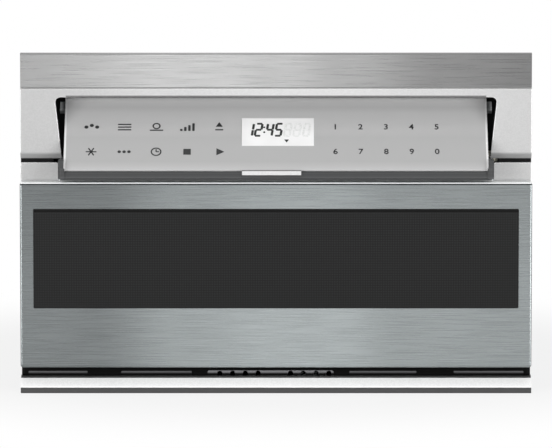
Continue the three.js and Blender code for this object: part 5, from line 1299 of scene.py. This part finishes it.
@dataclass
class Case(SubAssembly):
    """The sheet metal case, with the pan-head screws in its rear panel and its flanks."""

    finishes = {
        "base_plate": ZINC,
        "case_shell": ZINC,
        "rear_panel": ZINC,
        "cord_gland": BLACK_ABS,
    }
    head_radius: float = 0.0042
    head_height: float = 0.0022
    crown_share: float = 0.55
    recess_depth: float = 0.0012
    recess_shares: tuple[float, float] = (1.15, 0.22)
    rear: tuple[tuple[float, float], ...] = (
        (-0.266, 0.03), (-0.266, 0.19), (-0.266, 0.35),
        (0.266, 0.03), (0.266, 0.19), (0.266, 0.35),
        (-0.09, 0.352), (0.09, 0.352),
    )
    flank_y: tuple[float, ...] = (-0.24, -0.08, 0.09, 0.25)
    flank_z: float = 0.0065

    def head(self) -> Object:
        """Models a screw head with a cross recess, standing on the XY plane.

        Returns:
            The head.
        """
        deselect()
        radius, height = self.head_radius, self.head_height
        place = (0, 0, height / 2)
        bpy.ops.mesh.primitive_cylinder_add(vertices=24, radius=radius, depth=height, location=place)
        made = bpy.context.object
        crown = made.modifiers.new("crown", "BEVEL")
        crown.width = height * self.crown_share
        crown.segments = 3
        crown.limit_method = "ANGLE"
        pick(made)
        bpy.ops.object.modifier_apply(modifier=crown.name)
        long, wide = self.recess_shares
        for turn in (0.0, math.pi / 2):
            deselect()
            bpy.ops.mesh.primitive_cube_add(size=1, location=(0, 0, height), rotation=(0, 0, turn))
            blade = bpy.context.object
            blade.scale = (radius * long, radius * wide, self.recess_depth * 2)
            cutter = made.modifiers.new("recess", "BOOLEAN")
            cutter.operation = "DIFFERENCE"
            cutter.object = blade
            pick(made)
            bpy.ops.object.modifier_apply(modifier=cutter.name)
            bpy.data.objects.remove(blade)
        return made

    def places(self) -> list[Matrix]:
        """Finds where the screws stand on the rear panel and the flanks.

        Returns:
            Their places in the model's frame.
        """
        back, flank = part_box("rear_panel")[1].y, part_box("case_shell")[1].x
        rearward = Matrix.Rotation(-math.pi / 2, 4, "X")
        found = [Matrix.Translation((x, back, z)) @ rearward for x, z in self.rear]
        for side in Side:
            outward = Matrix.Rotation(side.value * math.pi / 2, 4, "Y")
            for y in self.flank_y:
                found.append(Matrix.Translation((side.value * flank, y, self.flank_z)) @ outward)
        return found

    def add_pieces(self) -> None:
        """Sets the screws, all copies of one head."""
        pattern = self.head()
        screws = []
        for place in self.places():
            screw = pattern.copy()
            screw.data = pattern.data.copy()
            bpy.context.scene.collection.objects.link(screw)
            settle(screw, place)
            screws.append(screw)
        bpy.data.objects.remove(pattern)
        finish_piece(merge("case_screws", screws), SCREW_BLACK, "case")


# ---------------------------------------------------------------- stage


@dataclass(frozen=True)
class Lamp:
    """A soft rectangular lamp: its place, the point that it faces, its size in metres and its watts."""

    name: str
    place: Point
    aim: Point
    size: tuple[float, float]
    power: float

    def hang(self) -> None:
        """Adds the lamp to the scene."""
        deselect()
        bpy.ops.object.light_add(type="AREA", location=self.place)
        made = bpy.context.object
        made.name = self.name
        made.data.shape = "RECTANGLE"
        made.data.size, made.data.size_y = self.size
        made.data.energy = self.power
        sight = Vector(self.aim) - Vector(self.place)
        made.rotation_euler = sight.to_track_quat("-Z", "Y").to_euler()


@dataclass
class Studio:
    """Floor, soft lamps and the camera at the photograph's angle."""

    floor_size: float = 14.0
    floor_colour: str = "f1f1f1"
    clouds_per_metre: float = 1.5
    cloud_shade: float = 0.99
    shadow_reach: tuple[float, float] = (0.35, 0.75)
    near_white: float = 0.8
    distance: float = 6.0
    eye_height: float = 0.84
    view_middle: float = 0.1996
    view_width: float = 0.6556
    sensor: float = 36.0
    world_level: float = 0.4
    lamps: tuple[Lamp, ...] = (
        Lamp("left", (-2.0, -2.8, 0.5), (0, -0.3, 0.25), (1.8, 1.0), 56),
        Lamp("right", (2.0, -2.8, 0.5), (0, -0.3, 0.25), (1.8, 1.0), 50),
        Lamp("top", (0, -0.4, 2.8), (0, -0.2, 0.2), (2.4, 1.8), 8),
    )

    def floor(self) -> None:
        """Makes the floor: pale matt board, whiter with distance, so that only the shadow is left."""
        deselect()
        cuts = {"x_subdivisions": 8, "y_subdivisions": 8}
        bpy.ops.mesh.primitive_grid_add(size=self.floor_size, location=(0, 0, 0), **cuts)
        made = bpy.context.object
        made.name = "floor"
        material = bpy.data.materials.new("pale_floor")
        material.use_nodes = True
        tree = material.node_tree
        shader = tree.nodes["Principled BSDF"]
        shader.inputs[GLOSS].default_value = 0.9
        shader.inputs["Specular IOR Level"].default_value = 0.0
        place = add(tree, "ShaderNodeTexCoord").outputs["Object"]
        cloud = add(tree, "ShaderNodeTexNoise", {"Vector": place, "Scale": self.clouds_per_metre})
        base = linear(self.floor_colour)
        stops = [(GRAIN_LOW, shade(base, self.cloud_shade)), (GRAIN_HIGH, base)]
        levels = add(tree, "ShaderNodeValToRGB", {"Fac": cloud.outputs["Fac"]}, stops)
        tree.links.new(levels.outputs["Color"], shader.inputs[BASE])
        far = add(tree, "ShaderNodeVectorMath", {0: place}, operation="LENGTH").outputs["Value"]
        near, wide = self.shadow_reach
        limits = {"Value": far, "From Min": near, "From Max": wide, "To Min": self.near_white}
        whiter = add(tree, "ShaderNodeMapRange", limits, interpolation_type="SMOOTHSTEP").outputs[0]
        seen = add(tree, "ShaderNodeLightPath").outputs["Is Camera Ray"]
        share = add(tree, "ShaderNodeMath", {0: whiter, 1: seen}, operation="MULTIPLY").outputs[0]
        white = add(tree, "ShaderNodeEmission", {"Color": WHITE, "Strength": 1.0}).outputs[0]
        mixed = add(tree, "ShaderNodeMixShader", {0: share, 1: shader.outputs[0], 2: white})
        tree.links.new(mixed.outputs[0], tree.nodes["Material Output"].inputs["Surface"])
        made.data.materials.append(material)

    def world(self) -> None:
        """Lights the scene evenly, and shows white to the camera, in reflections and through glass."""
        world = bpy.data.worlds.new("studio")
        bpy.context.scene.world = world
        world.use_nodes = True
        tree = world.node_tree
        tree.nodes.clear()
        path = add(tree, "ShaderNodeLightPath").outputs
        share = path["Is Camera Ray"]
        for name in ("Is Glossy Ray", "Is Transmission Ray"):
            rays = {0: share, 1: path[name]}
            share = add(tree, "ShaderNodeMath", rays, operation="MAXIMUM").outputs[0]
        lit = add(tree, "ShaderNodeBackground", {"Color": WHITE, "Strength": self.world_level})
        white = add(tree, "ShaderNodeBackground", {"Color": WHITE, "Strength": 1.0})
        shown = {0: share, 1: lit.outputs[0], 2: white.outputs[0]}
        mixed = add(tree, "ShaderNodeMixShader", shown)
        add(tree, "ShaderNodeOutputWorld", {"Surface": mixed.outputs[0]})

    def camera(self) -> None:
        """Sets a long lens well back and a little above the top, aimed down at the front."""
        deselect()
        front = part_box("top_trim")[0].y
        eye = Vector((0, front - self.distance, self.eye_height))
        sight = Vector((0, front, self.view_middle)) - eye
        bpy.ops.object.camera_add(location=eye)
        camera = bpy.context.object
        camera.rotation_euler = sight.to_track_quat("-Z", "Y").to_euler()
        camera.data.sensor_width = self.sensor
        camera.data.lens = self.sensor * sight.length / self.view_width
        camera.data.clip_end = 100
        bpy.context.scene.camera = camera

    def build(self) -> None:
        """Sets up the whole stage."""
        bpy.context.scene.view_settings.view_transform = "Standard"
        self.floor()
        self.world()
        for lamp in self.lamps:
            lamp.hang()
        self.camera()


def main() -> None:
    """Builds the stage and the sub-assemblies in order.

    Raises:
        ValueError: a node of the model has no finish.
    """
    logging.basicConfig(level=logging.INFO, format="%(name)s: %(message)s")
    Studio().build()
    bare = set(frame["nodes"])
    for part in (FixedFront(), ControlFlap(), Drawer(), CookingSystem(), Case()):
        bare -= part.build()
    if bare:
        raise ValueError(f"no finish for {sorted(bare)}")
    deselect()


if __name__ == "__main__":
    main()
